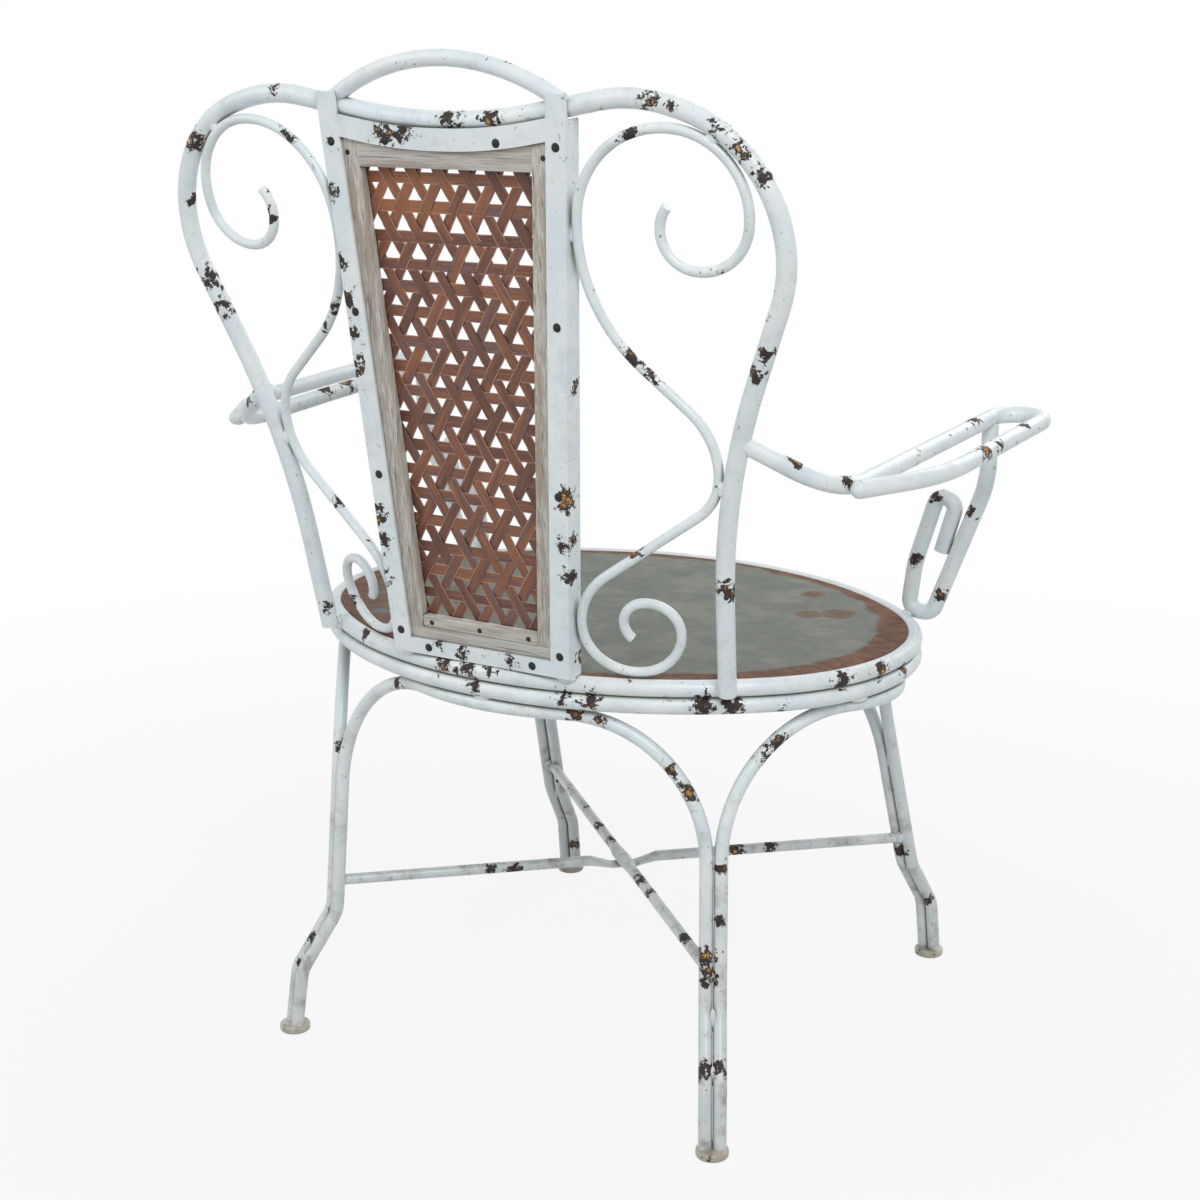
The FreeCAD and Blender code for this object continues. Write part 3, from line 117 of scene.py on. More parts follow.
class Recipe:
    """Node tree of a material or of the world."""

    # Samples and band of the ambient occlusion that makes painted shade in crevices.
    crevice_samples = 8
    crevice_band: Band = (0.25, 0.80)

    def __init__(self, owner: Union[bpy.types.Material, bpy.types.World]) -> None:
        """Start with no nodes.

        Args:
            owner: the material or the world.
        """
        owner.use_nodes = True
        self.owner = owner
        self.tree = owner.node_tree
        self.tree.nodes.clear()

    def node(self, kind: str, settings: Dict[str, Any], values: Dict[Any, Any], out: Union[int, str] = 0) -> Flow:
        """Add a node.

        Args:
            kind: the node's type.
            settings: its properties, set before its sockets.
            values: numbers, colours or flows for its input sockets.
            out: the output socket that is returned.

        Returns:
            The chosen output.
        """
        made = self.tree.nodes.new(kind)
        for key, value in settings.items():
            setattr(made, key, value)
        for key, value in values.items():
            if isinstance(value, Flow):
                self.tree.links.new(value.socket, made.inputs[key])
            else:
                made.inputs[key].default_value = value
        return Flow(self, made.outputs[out])

    def place(self, stretch: Point = (1.0, 1.0, 1.0), turn: Point = (0.0, 0.0, 0.0)) -> Flow:
        """Find the point of the surface.

        Args:
            stretch: factors for its coordinates.
            turn: angles in radians.

        Returns:
            Object coordinates in metres, stretched and turned.
        """
        here = self.node("ShaderNodeTexCoord", {}, {}, "Object")
        if stretch == (1.0, 1.0, 1.0) and turn == (0.0, 0.0, 0.0):
            return here
        return self.node("ShaderNodeMapping", {}, {"Vector": here, "Scale": stretch, "Rotation": turn})

    def vector(self, x: Any, y: Any, z: Any) -> Flow:
        """A vector from its coordinates."""
        return self.node("ShaderNodeCombineXYZ", {}, {0: x, 1: y, 2: z})

    def noise(self, place: Flow, kind: Noise) -> Flow:
        """Smooth noise about the middle; its scale counts features in a metre."""
        values = {"Vector": place, "Scale": kind[0], "Detail": kind[1], "Roughness": kind[2]}
        return self.node("ShaderNodeTexNoise", {}, values, "Fac")

    def step(self, value: Flow, band: Band) -> Flow:
        """Smooth step from 0 at a band's start to 1 at its end."""
        values = {"Value": value, "From Min": band[0], "From Max": band[1]}
        return self.node("ShaderNodeMapRange", {"interpolation_type": "SMOOTHSTEP"}, values)

    def blend(self, share: Any, first: Any, second: Any) -> Flow:
        """Mix two colours.

        Args:
            share: how much of the second shows.
            first: the colour at a share of 0.
            second: the colour at a share of 1.

        Returns:
            The mixed colour.
        """
        colours = [(*c, 1.0) if isinstance(c, tuple) else c for c in (first, second)]
        return self.node("ShaderNodeMix", {"data_type": "RGBA"}, {0: share, 6: colours[0], 7: colours[1]}, 2)

    def cover(self, colour: Flow, *coats: Tuple[Flow, Any]) -> Flow:
        """Lay coats over a colour.

        Args:
            colour: the lowest colour.
            coats: how much of each coat shows, and its colour, from the lowest up.

        Returns:
            The colour that is seen.
        """
        for share, coat in coats:
            colour = self.blend(share, colour, coat)
        return colour

    def near(self, place: Flow, spots: Iterable[Spot]) -> Flow:
        """How near a point is to the nearest spot.

        Args:
            place: the point, in metres.
            spots: middles and reaches, in millimetres.

        Returns:
            1 at a spot's middle, falling to 0 at its reach.
        """
        nearest = None
        for x, y, z, reach in spots:
            middle = (x / MILLIMETRES, y / MILLIMETRES, z / MILLIMETRES)
            away = self.node("ShaderNodeVectorMath", {"operation": "DISTANCE"}, {0: place, 1: middle}, "Value")
            closeness = 1.0 - away * (MILLIMETRES / reach)
            nearest = closeness if nearest is None else nearest.most(closeness)
        return nearest.most(0.0)

    def crevice_shade(self, distance: float) -> Flow:
        """Mask of painted shade: 1 deep in crevices and between parts, 0 on open faces.

        Args:
            distance: how far neighbours count, in metres.

        Returns:
            The share of the surroundings that is closed.
        """
        settings = {"samples": self.crevice_samples}
        # Ambient occlusion decides where painted shade darkens the colour.
        open_share = self.node("ShaderNodeAmbientOcclusion", settings, {"Distance": distance}, "AO")
        return 1.0 - self.step(open_share, self.crevice_band)

    def bump(self, height: Flow, strength: float, depth: float) -> Flow:
        """Normal of a fine relief; its depth is in metres."""
        return self.node("ShaderNodeBump", {}, {"Strength": strength, "Distance": depth, "Height": height})

    def seen(self) -> Flow:
        """Tell what is seen from what lights the chair.

        Returns:
            1 for camera, glossy and transmission rays, and 0 for the others.
        """
        camera, glossy, passing = (self.node("ShaderNodeLightPath", {}, {}, ray)
                                   for ray in ("Is Camera Ray", "Is Glossy Ray", "Is Transmission Ray"))
        return camera.most(glossy).most(passing)

    def surface(self, shader: Flow, output: str = "ShaderNodeOutputMaterial") -> None:
        """End the tree with a shader."""
        end = self.tree.nodes.new(output)
        self.tree.links.new(shader.socket, end.inputs["Surface"])

    def finish(self, values: Dict[str, Any]) -> bpy.types.Material:
        """End a material's tree with a Principled shader.

        Args:
            values: numbers, colours or flows for its sockets.

        Returns:
            The finished material.
        """
        self.surface(self.node("ShaderNodeBsdfPrincipled", {}, values))
        return self.owner


@dataclass(frozen=True)
class ChippedPaint:
    """Old pale paint on steel, chipped to dark metal with patches of rust, darker towards the bottom, and with
    painted shade in its crevices.

    Paint comes off where the flaking passes the limit, and the bands of halo, chip and depth count from there.
    """

    name: str
    worn: Tuple[Spot, ...] = ()
    paint: Colour = (0.73, 0.815, 0.85)
    faded: Colour = (0.83, 0.875, 0.885)
    # One colour for smudges and specks of dirt, for the darkening towards the bottom and for painted shade in
    # crevices.
    grime_and_shade: Colour = (0.27, 0.25, 0.19)
    halo: Colour = (0.52, 0.42, 0.31)
    bare: Colour = (0.020, 0.012, 0.010)
    rust: Colour = (0.30, 0.13, 0.030)
    ochre: Colour = (0.62, 0.36, 0.11)
    flakes: Noise = (130.0, 5.0, 0.72)
    flake_pull: float = 3.3
    drift: Noise = (11.0, 2.0, 0.5)
    drift_pull: float = 0.8
    worn_pull: float = 1.05
    limit: float = 0.57
    halo_band: Band = (-0.16, 0.0)
    halo_share: float = 0.25
    chip_band: Band = (0.0, 0.04)
    depth_band: Band = (0.34, 0.48)
    rust_patches: Noise = (30.0, 2.0, 0.5)
    rust_band: Band = (0.54, 0.58)
    rust_grain: Noise = (240.0, 3.0, 0.5)
    ochre_band: Band = (0.42, 0.60)
    fading: Noise = (22.0, 4.0, 0.6)
    faded_band: Band = (0.35, 0.68)
    # Darker towards the bottom: it fades out over this band of heights, and the next share says how much.
    low_band: Band = (0.03, 0.36)
    bottom_darkening: float = 0.22
    smudges: Noise = (40.0, 6.0, 0.72)
    smudge_band: Band = (0.47, 0.72)
    dirt: float = 0.18
    # How much darker the smudges are made towards the bottom.
    bottom_smudge_darkening: float = 0.50
    specks: Noise = (420.0, 2.0, 0.5)
    speck_band: Band = (0.70, 0.74)
    speck_share: float = 0.6
    # Painted shade in crevices: how far neighbours count, in metres, and how much it darkens.
    crevice_reach: float = 0.007
    crevice_share: float = 0.75
    brushing: Noise = (160.0, 3.0, 0.5)
    brush_height: float = 0.25
    grit: Noise = (900.0, 2.0, 0.5)
    grit_height: float = 0.04
    chip_depth: float = 0.8
    rust_height: float = 0.15
    bump_strength: float = 0.55
    bump_depth: float = 0.0006
    roughness: float = 0.32
    chip_roughness: float = 0.34
    smudge_roughness: float = 0.12

    def _past(self, band: Band) -> Band:
        """A band counted from the limit."""
        return self.limit + band[0], self.limit + band[1]

    def build(self) -> bpy.types.Material:
        """Build the material.

        Returns:
            The paint.
        """
        recipe = Recipe(bpy.data.materials.new(self.name))
        here = recipe.place()
        flaking = ((recipe.noise(here, self.flakes) - MIDDLE) * self.flake_pull
                   + (recipe.noise(here, self.drift) - MIDDLE) * self.drift_pull)
        if self.worn:
            flaking = flaking + recipe.near(here, self.worn) * self.worn_pull
        halo, chip, deep = (recipe.step(flaking, self._past(band))
                            for band in (self.halo_band, self.chip_band, self.depth_band))
        rusty = deep * recipe.step(recipe.noise(here, self.rust_patches), self.rust_band)
        ochre = recipe.step(recipe.noise(here, self.rust_grain), self.ochre_band)
        rust = recipe.blend(ochre, self.rust, self.ochre)
        # Darker towards the bottom: 1 near the floor, falling to 0 at the top of the low band.
        low = 1.0 - recipe.step(here.axis(2), self.low_band)
        smudge = recipe.step(recipe.noise(here, self.smudges), self.smudge_band)
        specks = recipe.step(recipe.noise(here, self.specks), self.speck_band)
        clean = recipe.blend(recipe.step(recipe.noise(here, self.fading), self.faded_band), self.paint, self.faded)
        # Coats from the lowest: darkening towards the bottom, dirt smudges, dirt specks, painted shade in crevices,
        # halos round chips, bare metal, rust.
        colour = recipe.cover(
            clean, (low * self.bottom_darkening, self.grime_and_shade), (smudge * (low * self.bottom_smudge_darkening + self.dirt), self.grime_and_shade),
            (specks * self.speck_share, self.grime_and_shade),
            (recipe.crevice_shade(self.crevice_reach) * self.crevice_share, self.grime_and_shade),
            (halo * self.halo_share, self.halo), (chip, self.bare), (rusty, rust))
        brushed = (recipe.noise(here, self.brushing) * self.brush_height
                   + recipe.noise(here, self.grit) * self.grit_height)
        relief = brushed - chip * self.chip_depth + rusty * self.rust_height
        rough = self.roughness + chip * self.chip_roughness + smudge * self.smudge_roughness
        return recipe.finish({"Base Color": colour, "Roughness": rough,
                              "Normal": recipe.bump(relief, self.bump_strength, self.bump_depth)})


@dataclass(frozen=True)
class ZincSeat:
    """Dull grey-green zinc sheet with a rusty border and stains; the border follows an oval of half_size."""

    name: str = "zinc_seat"
    half_size: Pair = (0.302, 0.228)
    sheet: Colour = (0.085, 0.098, 0.080)
    pale: Colour = (0.190, 0.208, 0.170)
    scratch: Colour = (0.28, 0.30, 0.26)
    rust: Colour = (0.115, 0.055, 0.035)
    light_rust: Colour = (0.21, 0.10, 0.06)
    stains: Tuple[Spot, ...] = (
        (-205, -95, 431, 26), (-178, -78, 431, 18), (-150, -150, 431, 20), (262, 40, 431, 55), (235, 118, 431, 60),
        (180, 165, 431, 45), (120, -60, 431, 20))
    clouds: Noise = (14.0, 6.0, 0.65)
    mottling: Noise = (75.0, 5.0, 0.7)
    tone_shares: Pair = (0.7, 0.3)
    tone_band: Band = (0.38, 0.66)
    scratches: Noise = (40.0, 3.0, 0.7)
    scratch_stretch: Point = (1.0, 14.0, 1.0)
    scratch_turn: Point = (0.0, 0.0, 0.5)
    scratch_band: Band = (0.62, 0.75)
    scratch_share: float = 0.35
    side_reach: float = 0.065
    ragging: Noise = (26.0, 5.0, 0.65)
    rag_reach: float = 0.12
    border_band: Band = (0.955, 0.985)
    stain_pulls: Pair = (1.4, 0.9)
    stain_band: Band = (0.24, 0.46)
    stain_share: float = 0.75
    rust_band: Band = (0.4, 0.62)
    relief_share: float = 0.5
    bump_strength: float = 0.35
    bump_depth: float = 0.0004
    roughness: float = 0.52
    rust_roughness: float = 0.30
    cloud_roughness: float = 0.2
    metal: float = 0.15

    def build(self) -> bpy.types.Material:
        """Build the material.

        Returns:
            The zinc.
        """
        recipe = Recipe(bpy.data.materials.new(self.name))
        here = recipe.place()
        clouds = recipe.noise(here, self.clouds)
        mottle = recipe.noise(here, self.mottling)
        tone = recipe.step(clouds * self.tone_shares[0] + mottle * self.tone_shares[1], self.tone_band)
        scratches = recipe.noise(recipe.place(self.scratch_stretch, self.scratch_turn), self.scratches)
        shares = (1 / self.half_size[0], 1 / self.half_size[1], 0.0)
        oval = recipe.node("ShaderNodeVectorMath", {"operation": "MULTIPLY"}, {0: here, 1: shares})
        reach = recipe.node("ShaderNodeVectorMath", {"operation": "LENGTH"}, {0: oval}, "Value")
        ragged = (reach + abs(oval.axis(0)) * self.side_reach
                  + (recipe.noise(here, self.ragging) - MIDDLE) * self.rag_reach)
        border = recipe.step(ragged, self.border_band)
        stained = (recipe.near(here, self.stains) + (clouds - MIDDLE) * self.stain_pulls[0]
                   + (mottle - MIDDLE) * self.stain_pulls[1])
        rusty = border.most(recipe.step(stained, self.stain_band) * self.stain_share)
        rust = recipe.blend(recipe.step(mottle, self.rust_band), self.rust, self.light_rust)
        colour = recipe.cover(recipe.blend(tone, self.sheet, self.pale),
                              (recipe.step(scratches, self.scratch_band) * self.scratch_share, self.scratch),
                              (rusty, rust))
        relief = mottle * self.relief_share + rusty * self.relief_share
        rough = self.roughness + rusty * self.rust_roughness + (clouds - MIDDLE) * self.cloud_roughness
        return recipe.finish({"Base Color": colour, "Roughness": rough, "Metallic": self.metal - rusty * self.metal,
                              "Normal": recipe.bump(relief, self.bump_strength, self.bump_depth)})


class Grain(Enum):
    """Direction of a board's grain, as the stretch of its pattern."""

    UPRIGHT = (1.0, 1.0, 0.030)
    ACROSS = (0.030, 1.0, 1.0)


@dataclass(frozen=True)
class WeatheredWood:
    """Grey-beige wood with worn whitewash and fine dark lines in its grain, and painted shade in its crevices and
    joints.
    """

    name: str
    grain: Grain
    wood: Colour = (0.42, 0.385, 0.33)
    brown: Colour = (0.36, 0.29, 0.235)
    wash: Colour = (0.60, 0.59, 0.555)
    line: Colour = (0.16, 0.12, 0.09)
    # Colour of the painted shade in crevices and joints.
    joint_shade: Colour = (0.040, 0.028, 0.020)
    fibres: Noise = (620.0, 4.0, 0.7)
    wearing: Noise = (75.0, 4.0, 0.6)
    brown_band: Band = (0.52, 0.66)
    brown_share: float = 0.7
    wash_shares: Pair = (0.55, 0.45)
    wash_band: Band = (0.45, 0.54)
    wash_share: float = 0.85
    lines: Noise = (420.0, 3.0, 0.5)
    line_band: Band = (0.60, 0.70)
    line_share: float = 0.75
    # How far painted shade in crevices and joints reaches, in metres.
    crevice_reach: float = 0.004
    relief_share: float = 0.7
    bump_strength: float = 0.55
    bump_depth: float = 0.0006
    roughness: float = 0.78
    wash_gloss: float = 0.1

    def build(self) -> bpy.types.Material:
        """Build the material.

        Returns:
            The wood.
        """
        recipe = Recipe(bpy.data.materials.new(self.name))
        along = recipe.place(self.grain.value)
        fibre = recipe.noise(along, self.fibres)
        worn = recipe.noise(along, self.wearing)
        brown = recipe.blend(recipe.step(worn, self.brown_band) * self.brown_share, self.wood, self.brown)
        washed = recipe.step(fibre * self.wash_shares[0] + (1.0 - worn) * self.wash_shares[1], self.wash_band)
        lines = recipe.step(recipe.noise(along, self.lines), self.line_band)
        # The last coat is painted shade in crevices and joints.
        colour = recipe.cover(brown, (washed * self.wash_share, self.wash), (lines * self.line_share, self.line),
                              (recipe.crevice_shade(self.crevice_reach), self.joint_shade))
        relief = fibre * self.relief_share - lines * self.relief_share
        return recipe.finish({"Base Color": colour, "Roughness": self.roughness - washed * self.wash_gloss,
                              "Normal": recipe.bump(relief, self.bump_strength, self.bump_depth)})


@dataclass(frozen=True)
class StainedCane:
    """Reddish brown cane: a tone for each strip, fine fibres along it, paler worn edges, and painted shade in the
    crevices between strips and at the frame.

    A strip's texture has its length in metres along U, and along V its number plus its width as a share of 1.
    The lengths and stretches below turn these into the places of two noises, which differ from strip to strip.
    """

    brown: Colour = (0.120, 0.046, 0.030)
    red: Colour = (0.26, 0.095, 0.045)
    violet: Colour = (0.165, 0.085, 0.080)
    orange: Colour = (0.46, 0.165, 0.050)
    pale: Colour = (0.52, 0.33, 0.24)
    # Colour of the dark fibres, and of the painted shade in crevices.
    dark: Colour = (0.045, 0.018, 0.013)
    fibre_length: float = 0.030
    fibre_stretch: Pair = (24.0, 7.3)
    fibres: Noise = (1.0, 3.0, 0.65)
    tone_stretch: Point = (14.0, 1.5, 3.7)
    tones: Noise = (1.0, 2.0, 0.5)
    red_shares: Pair = (0.7, 0.3)
    red_band: Band = (0.36, 0.66)
    violet_band: Band = (0.50, 0.40)
    violet_strips: Band = (0.35, 0.6)
    warm_rise: Band = (0.79, 0.87)
    warm_side: Band = (-0.04, 0.05)
    warm_share: float = 0.45
    pale_band: Band = (0.56, 0.70)
    pale_share: float = 0.45
    dark_band: Band = (0.47, 0.34)
    dark_share: float = 0.8
    edge_band: Band = (0.40, 0.46)
    edge_wear: Band = (0.90, 1.02)
    edge_share: float = 0.8
    # Painted shade in the crevices between strips and at the frame: its reach in metres and its share.
    crevice_reach: float = 0.004
    crevice_share: float = 0.8
    bump_strength: float = 0.5
    bump_depth: float = 0.0003
    roughness: float = 0.46
    fibre_roughness: float = 0.3

    def build(self) -> bpy.types.Material:
        """Build the material.

        Returns:
            The cane.
        """
        recipe = Recipe(bpy.data.materials.new("stained_cane"))
        here = recipe.place()
        strip = recipe.node("ShaderNodeUVMap", {"uv_map": "UVMap"}, {})
        along = strip.axis(0)
        number = strip.axis(1).whole()
        across = strip.axis(1).rest()
        fibre = recipe.noise(recipe.vector(along * (1 / self.fibre_length), across * self.fibre_stretch[0],
                                           number * self.fibre_stretch[1]), self.fibres)
        slow = recipe.noise(recipe.vector(along * self.tone_stretch[0], across * self.tone_stretch[1],
                                          number * self.tone_stretch[2]), self.tones)
        chance = recipe.node("ShaderNodeTexWhiteNoise", {"noise_dimensions": "1D"}, {"W": number}, "Value")
        red = recipe.step(slow * self.red_shares[0] + chance * self.red_shares[1], self.red_band)
        violet = recipe.step(slow, self.violet_band) * recipe.step(chance, self.violet_strips)
        warm = recipe.step(here.axis(2), self.warm_rise) * recipe.step(here.axis(0), self.warm_side)
        edge = recipe.step(abs(across - MIDDLE), self.edge_band) * recipe.step(slow + fibre, self.edge_wear)
        # Coats from the lowest: strip tones, a warm patch, pale and dark fibres, worn edges, and last the painted
        # shade in crevices.
        colour = recipe.cover(
            recipe.blend(red, self.brown, self.red), (violet, self.violet), (warm * self.warm_share, self.orange),
            (recipe.step(fibre, self.pale_band) * self.pale_share, self.pale),
            (recipe.step(fibre, self.dark_band) * self.dark_share, self.dark), (edge * self.edge_share, self.pale),
            (recipe.crevice_shade(self.crevice_reach) * self.crevice_share, self.dark))
        rough = self.roughness + (fibre - MIDDLE) * self.fibre_roughness
        return recipe.finish({"Base Color": colour, "Roughness": rough,
                              "Normal": recipe.bump(fibre, self.bump_strength, self.bump_depth)})


@dataclass(frozen=True)
class RustedIron:
    """Nearly black screws and nails with a little rust."""

    name: str = "rusted_iron"
    iron: Colour = (0.012, 0.011, 0.012)
    rust: Colour = (0.085, 0.038, 0.020)
    scale: Noise = (600.0, 3.0, 0.5)
    rust_band: Band = (0.58, 0.72)
    bump_strength: float = 0.4
    bump_depth: float = 0.0003
    roughness: float = 0.5
    scale_roughness: float = 0.3
    metal: float = 0.2

    def build(self) -> bpy.types.Material:
        """Build the material.

        Returns:
            The iron.
        """
        recipe = Recipe(bpy.data.materials.new(self.name))
        scale = recipe.noise(recipe.place(), self.scale)
        colour = recipe.blend(recipe.step(scale, self.rust_band), self.iron, self.rust)
        return recipe.finish({"Base Color": colour, "Roughness": self.roughness + scale * self.scale_roughness,
                              "Metallic": self.metal,
                              "Normal": recipe.bump(scale, self.bump_strength, self.bump_depth)})


def leave_all() -> None:
    """Deselect every object, because an operator acts on all that is selected."""
    if bpy.context.object and bpy.context.object.mode != "OBJECT":
        bpy.ops.object.mode_set(mode="OBJECT")
    bpy.ops.object.select_all(action="DESELECT")


def take(piece: bpy.types.Object) -> None:
    """Select one object alone and make it active.

    Args:
        piece: the object.
    """
    leave_all()
    piece.select_set(True)
    bpy.context.view_layer.objects.active = piece


def edit_all(piece: bpy.types.Object) -> None:
    """Enter edit mode with the whole mesh selected.

    Args:
        piece: the mesh object.
    """
    take(piece)
    bpy.ops.object.mode_set(mode="EDIT")
    bpy.ops.mesh.select_all(action="SELECT")


def pick(piece: bpy.types.Object, test: Callable[[Vector], bool]) -> None:
    """Select the vertices of a piece that pass a test, and enter edit mode.

    Args:
        piece: the mesh object.
        test: says of a vertex's place whether it is picked.
    """
    take(piece)
    bpy.ops.object.mode_set(mode="EDIT")
    bpy.ops.mesh.select_mode(type="VERT")
    bpy.ops.mesh.select_all(action="DESELECT")
    bpy.ops.object.mode_set(mode="OBJECT")
    for vertex in piece.data.vertices:
        vertex.select = test(vertex.co)
    bpy.ops.object.mode_set(mode="EDIT")


def modify(piece: bpy.types.Object, kind: str, **settings: Any) -> None:
    """Add a modifier and apply it.

    Args:
        piece: the mesh object.
        kind: the modifier's type.
        settings: its properties.
    """
    take(piece)
    made = piece.modifiers.new(kind.lower(), kind)
    for key, value in settings.items():
        setattr(made, key, value)
    bpy.ops.object.modifier_apply(modifier=made.name)


def settle(piece: bpy.types.Object) -> None:
    """Apply a piece's place to its mesh, so that its object sits at the origin."""
    take(piece)
    bpy.ops.object.transform_apply(location=True, rotation=True, scale=True)


def smooth(piece: bpy.types.Object, degrees: float) -> None:
    """Smooth shading up to an angle."""
    take(piece)
    bpy.ops.object.shade_smooth_by_angle(angle=math.radians(degrees))


def join(pieces: Sequence[bpy.types.Object], name: str) -> bpy.types.Object:
    """Join objects into one.

    Args:
        pieces: mesh objects.
        name: name of the result.

    Returns:
        The joined object.
    """
    take(pieces[0])
    for piece in pieces:
        piece.select_set(True)
    bpy.ops.object.join()
    pieces[0].name = name
    return pieces[0]


def dress(piece: bpy.types.Object, material: bpy.types.Material) -> None:
    """Give a piece one material on all its faces.

    Args:
        piece: the mesh object.
        material: its finish.
    """
    if not piece.material_slots:
        piece.data.materials.append(material)
    for place in piece.material_slots:
        place.material = material


def hand_in(piece: bpy.types.Object, slot: str, *stands_for: str) -> None:
    """Let a finished piece ride on the chair and stand for its nodes.

    Args:
        piece: the finished piece.
        slot: the name of a material slot; it is not used.
        stands_for: names of the nodes that it replaces.
    """
    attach(piece, "root")
    if stands_for:
        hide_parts(*stands_for)
    log.info("%s: %d faces", piece.name, len(piece.data.polygons))


def copy_of(source: bpy.types.Object, name: str) -> bpy.types.Object:
    """Copy an object with a mesh of its own.

    Args:
        source: the object that is copied.
        name: name of the copy.

    Returns:
        The copy.
    """
    piece = bpy.data.objects.new(name, source.data.copy())
    bpy.context.scene.collection.objects.link(piece)
    return piece


@dataclass(frozen=True)
class Group:
    """Rods that share one coat of paint: their nodes, the spots where they are chipped, and how dirty they are."""

    nodes: Tuple[str, ...]
    worn: Tuple[Spot, ...]
    dirt: float = 0.18


@dataclass
class SteelFrame:
    """The welded rods, the angle irons and the plates, painted group by group."""

    groups: Dict[str, Group] = field(default_factory=lambda: {
        "back": Group(("back_hoop", "crest_arch"), (
            (285, 280, 900, 26), (305, 260, 845, 12), (295, 250, 772, 22), (285, 245, 745, 24), (180, 285, 950, 10),
            (-10, 285, 926, 22), (-50, 286, 926, 22), (-205, 290, 943, 18), (-225, 288, 941, 14),
            (-265, 285, 923, 18), (-286, 281, 905, 18), (-305, 275, 885, 14), (-295, 250, 740, 18),
            (-285, 248, 724, 18), (-240, 207, 525, 20), (220, 190, 445, 13))),
        "scrolls": Group(("scroll_left", "scroll_right"), (
            (-190, 290, 916, 18), (-170, 250, 730, 20), (-185, 248, 715, 20), (-160, 228, 558, 16),
            (165, 288, 912, 18), (205, 270, 835, 12), (146, 259, 755, 20), (160, 254, 735, 12),
            (170, 225, 565, 15), (185, 196, 455, 15), (-240, 221, 620, 10))),
        "panel": Group(("panel_post_left", "panel_post_right", "top_plate", "bottom_plate"), (
            (58, 290, 912, 24), (38, 289, 914, 20), (122, 278, 858, 15), (119, 274, 800, 16), (116, 270, 768, 18),
            (114, 265, 735, 20), (113, 262, 705, 16), (102, 248, 566, 18), (101, 245, 540, 18), (99, 241, 505, 16),
            (-115, 254, 702, 16), (-108, 255, 601, 20), (-104, 247, 563, 18), (-104, 245, 531, 16),
            (-98, 225, 450, 13), (47, 241, 448, 14), (20, 241, 440, 14), (-36, 241, 440, 14))),
        "rings": Group(("seat_ring_upper", "seat_ring_lower"), (
            (163, 204, 430, 12), (43, 240, 429, 20), (15, 243, 429, 20), (-12, 242, 430, 16), (-86, 233, 412, 20),
            (-110, 227, 412, 20), (5, 244, 409, 14), (-203, 184, 410, 20), (-225, 168, 410, 18),
            (-259, 138, 404, 13), (-296, 89, 424, 16), (-314, 39, 423, 16), (-316, 0, 414, 15),
            (222, 171, 425, 10), (88, -218, 429, 10))),
        "legs": Group(("leg_arch_rear", "leg_arch_front", "leg_arch_left", "leg_arch_right"), (
            (115, 216, 390, 15), (-92, 224, 395, 15), (-117, 215, 391, 13), (-180, 198, 350, 15),
            (-196, 194, 328, 20), (218, 177, 298, 14), (236, 215, 93, 14), (243, 228, 72, 14),
            (-255, 132, 368, 22), (-247, 142, 357, 15), (-217, 199, 175, 20), (-219, 200, 158, 20),
            (-234, 230, 81, 16), (-246, 223, 82, 18), (-226, 191, 208, 11), (-225, 187, 261, 11),
            (214, -227, 138, 13), (226, -270, 38, 13), (-224, -222, 140, 15), (-240, -258, 72, 15),
            (210, -193, 239, 14)), 0.32),
        "braces": Group(("brace_upper", "brace_lower"), (
            (106, -114, 160, 12), (65, -73, 160, 18), (32, -43, 160, 14), (-51, 37, 160, 17), (-76, 58, 160, 13),
            (-160, 138, 160, 18), (98, 85, 155, 16), (83, 71, 154, 15), (-91, -90, 157, 18),
            (-118, -118, 160, 15)), 0.45),
        "arms": Group(("arm_loop_left", "arm_loop_right", "arm_support_left", "arm_support_right"), (
            (-396, 12, 632, 20), (-396, -18, 633, 16), (-332, 167, 630, 14), (-304, 204, 646, 13),
            (-337, -93, 641, 16), (-389, -90, 642, 13), (-286, -132, 556, 16), (-270, -129, 490, 14),
            (-325, -129, 543, 13), (-299, -130, 455, 14), (334, 7, 636, 18), (334, 42, 634, 18),
            (286, 221, 648, 15), (270, 224, 667, 13))),
    })
    feet: Tuple[str, ...] = (
        "foot_pad_rear_left", "foot_pad_rear_right", "foot_pad_front_left", "foot_pad_front_right")
    fasteners: Tuple[str, ...] = ("panel_screws", "wood_nails")
    foot_paint: ChippedPaint = ChippedPaint(
        "dirty_feet", paint=(0.50, 0.46, 0.38), faded=(0.62, 0.60, 0.54), dirt=0.35, limit=0.40)

    def _paint(self, nodes: Iterable[str], material: bpy.types.Material) -> None:
        """Give nodes a material."""
        for node in nodes:
            dress(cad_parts[node], material)

    def build(self) -> None:
        """Paint the rods, the feet, the seat and the screws."""
        for name, group in self.groups.items():
            coat = ChippedPaint("chipped_paint_" + name, group.worn, dirt=group.dirt)
            self._paint(group.nodes, coat.build())
        self._paint(self.feet, self.foot_paint.build())
        self._paint(("seat_panel",), ZincSeat().build())
        self._paint(self.fasteners, RustedIron().build())
        log.info("steel frame painted")


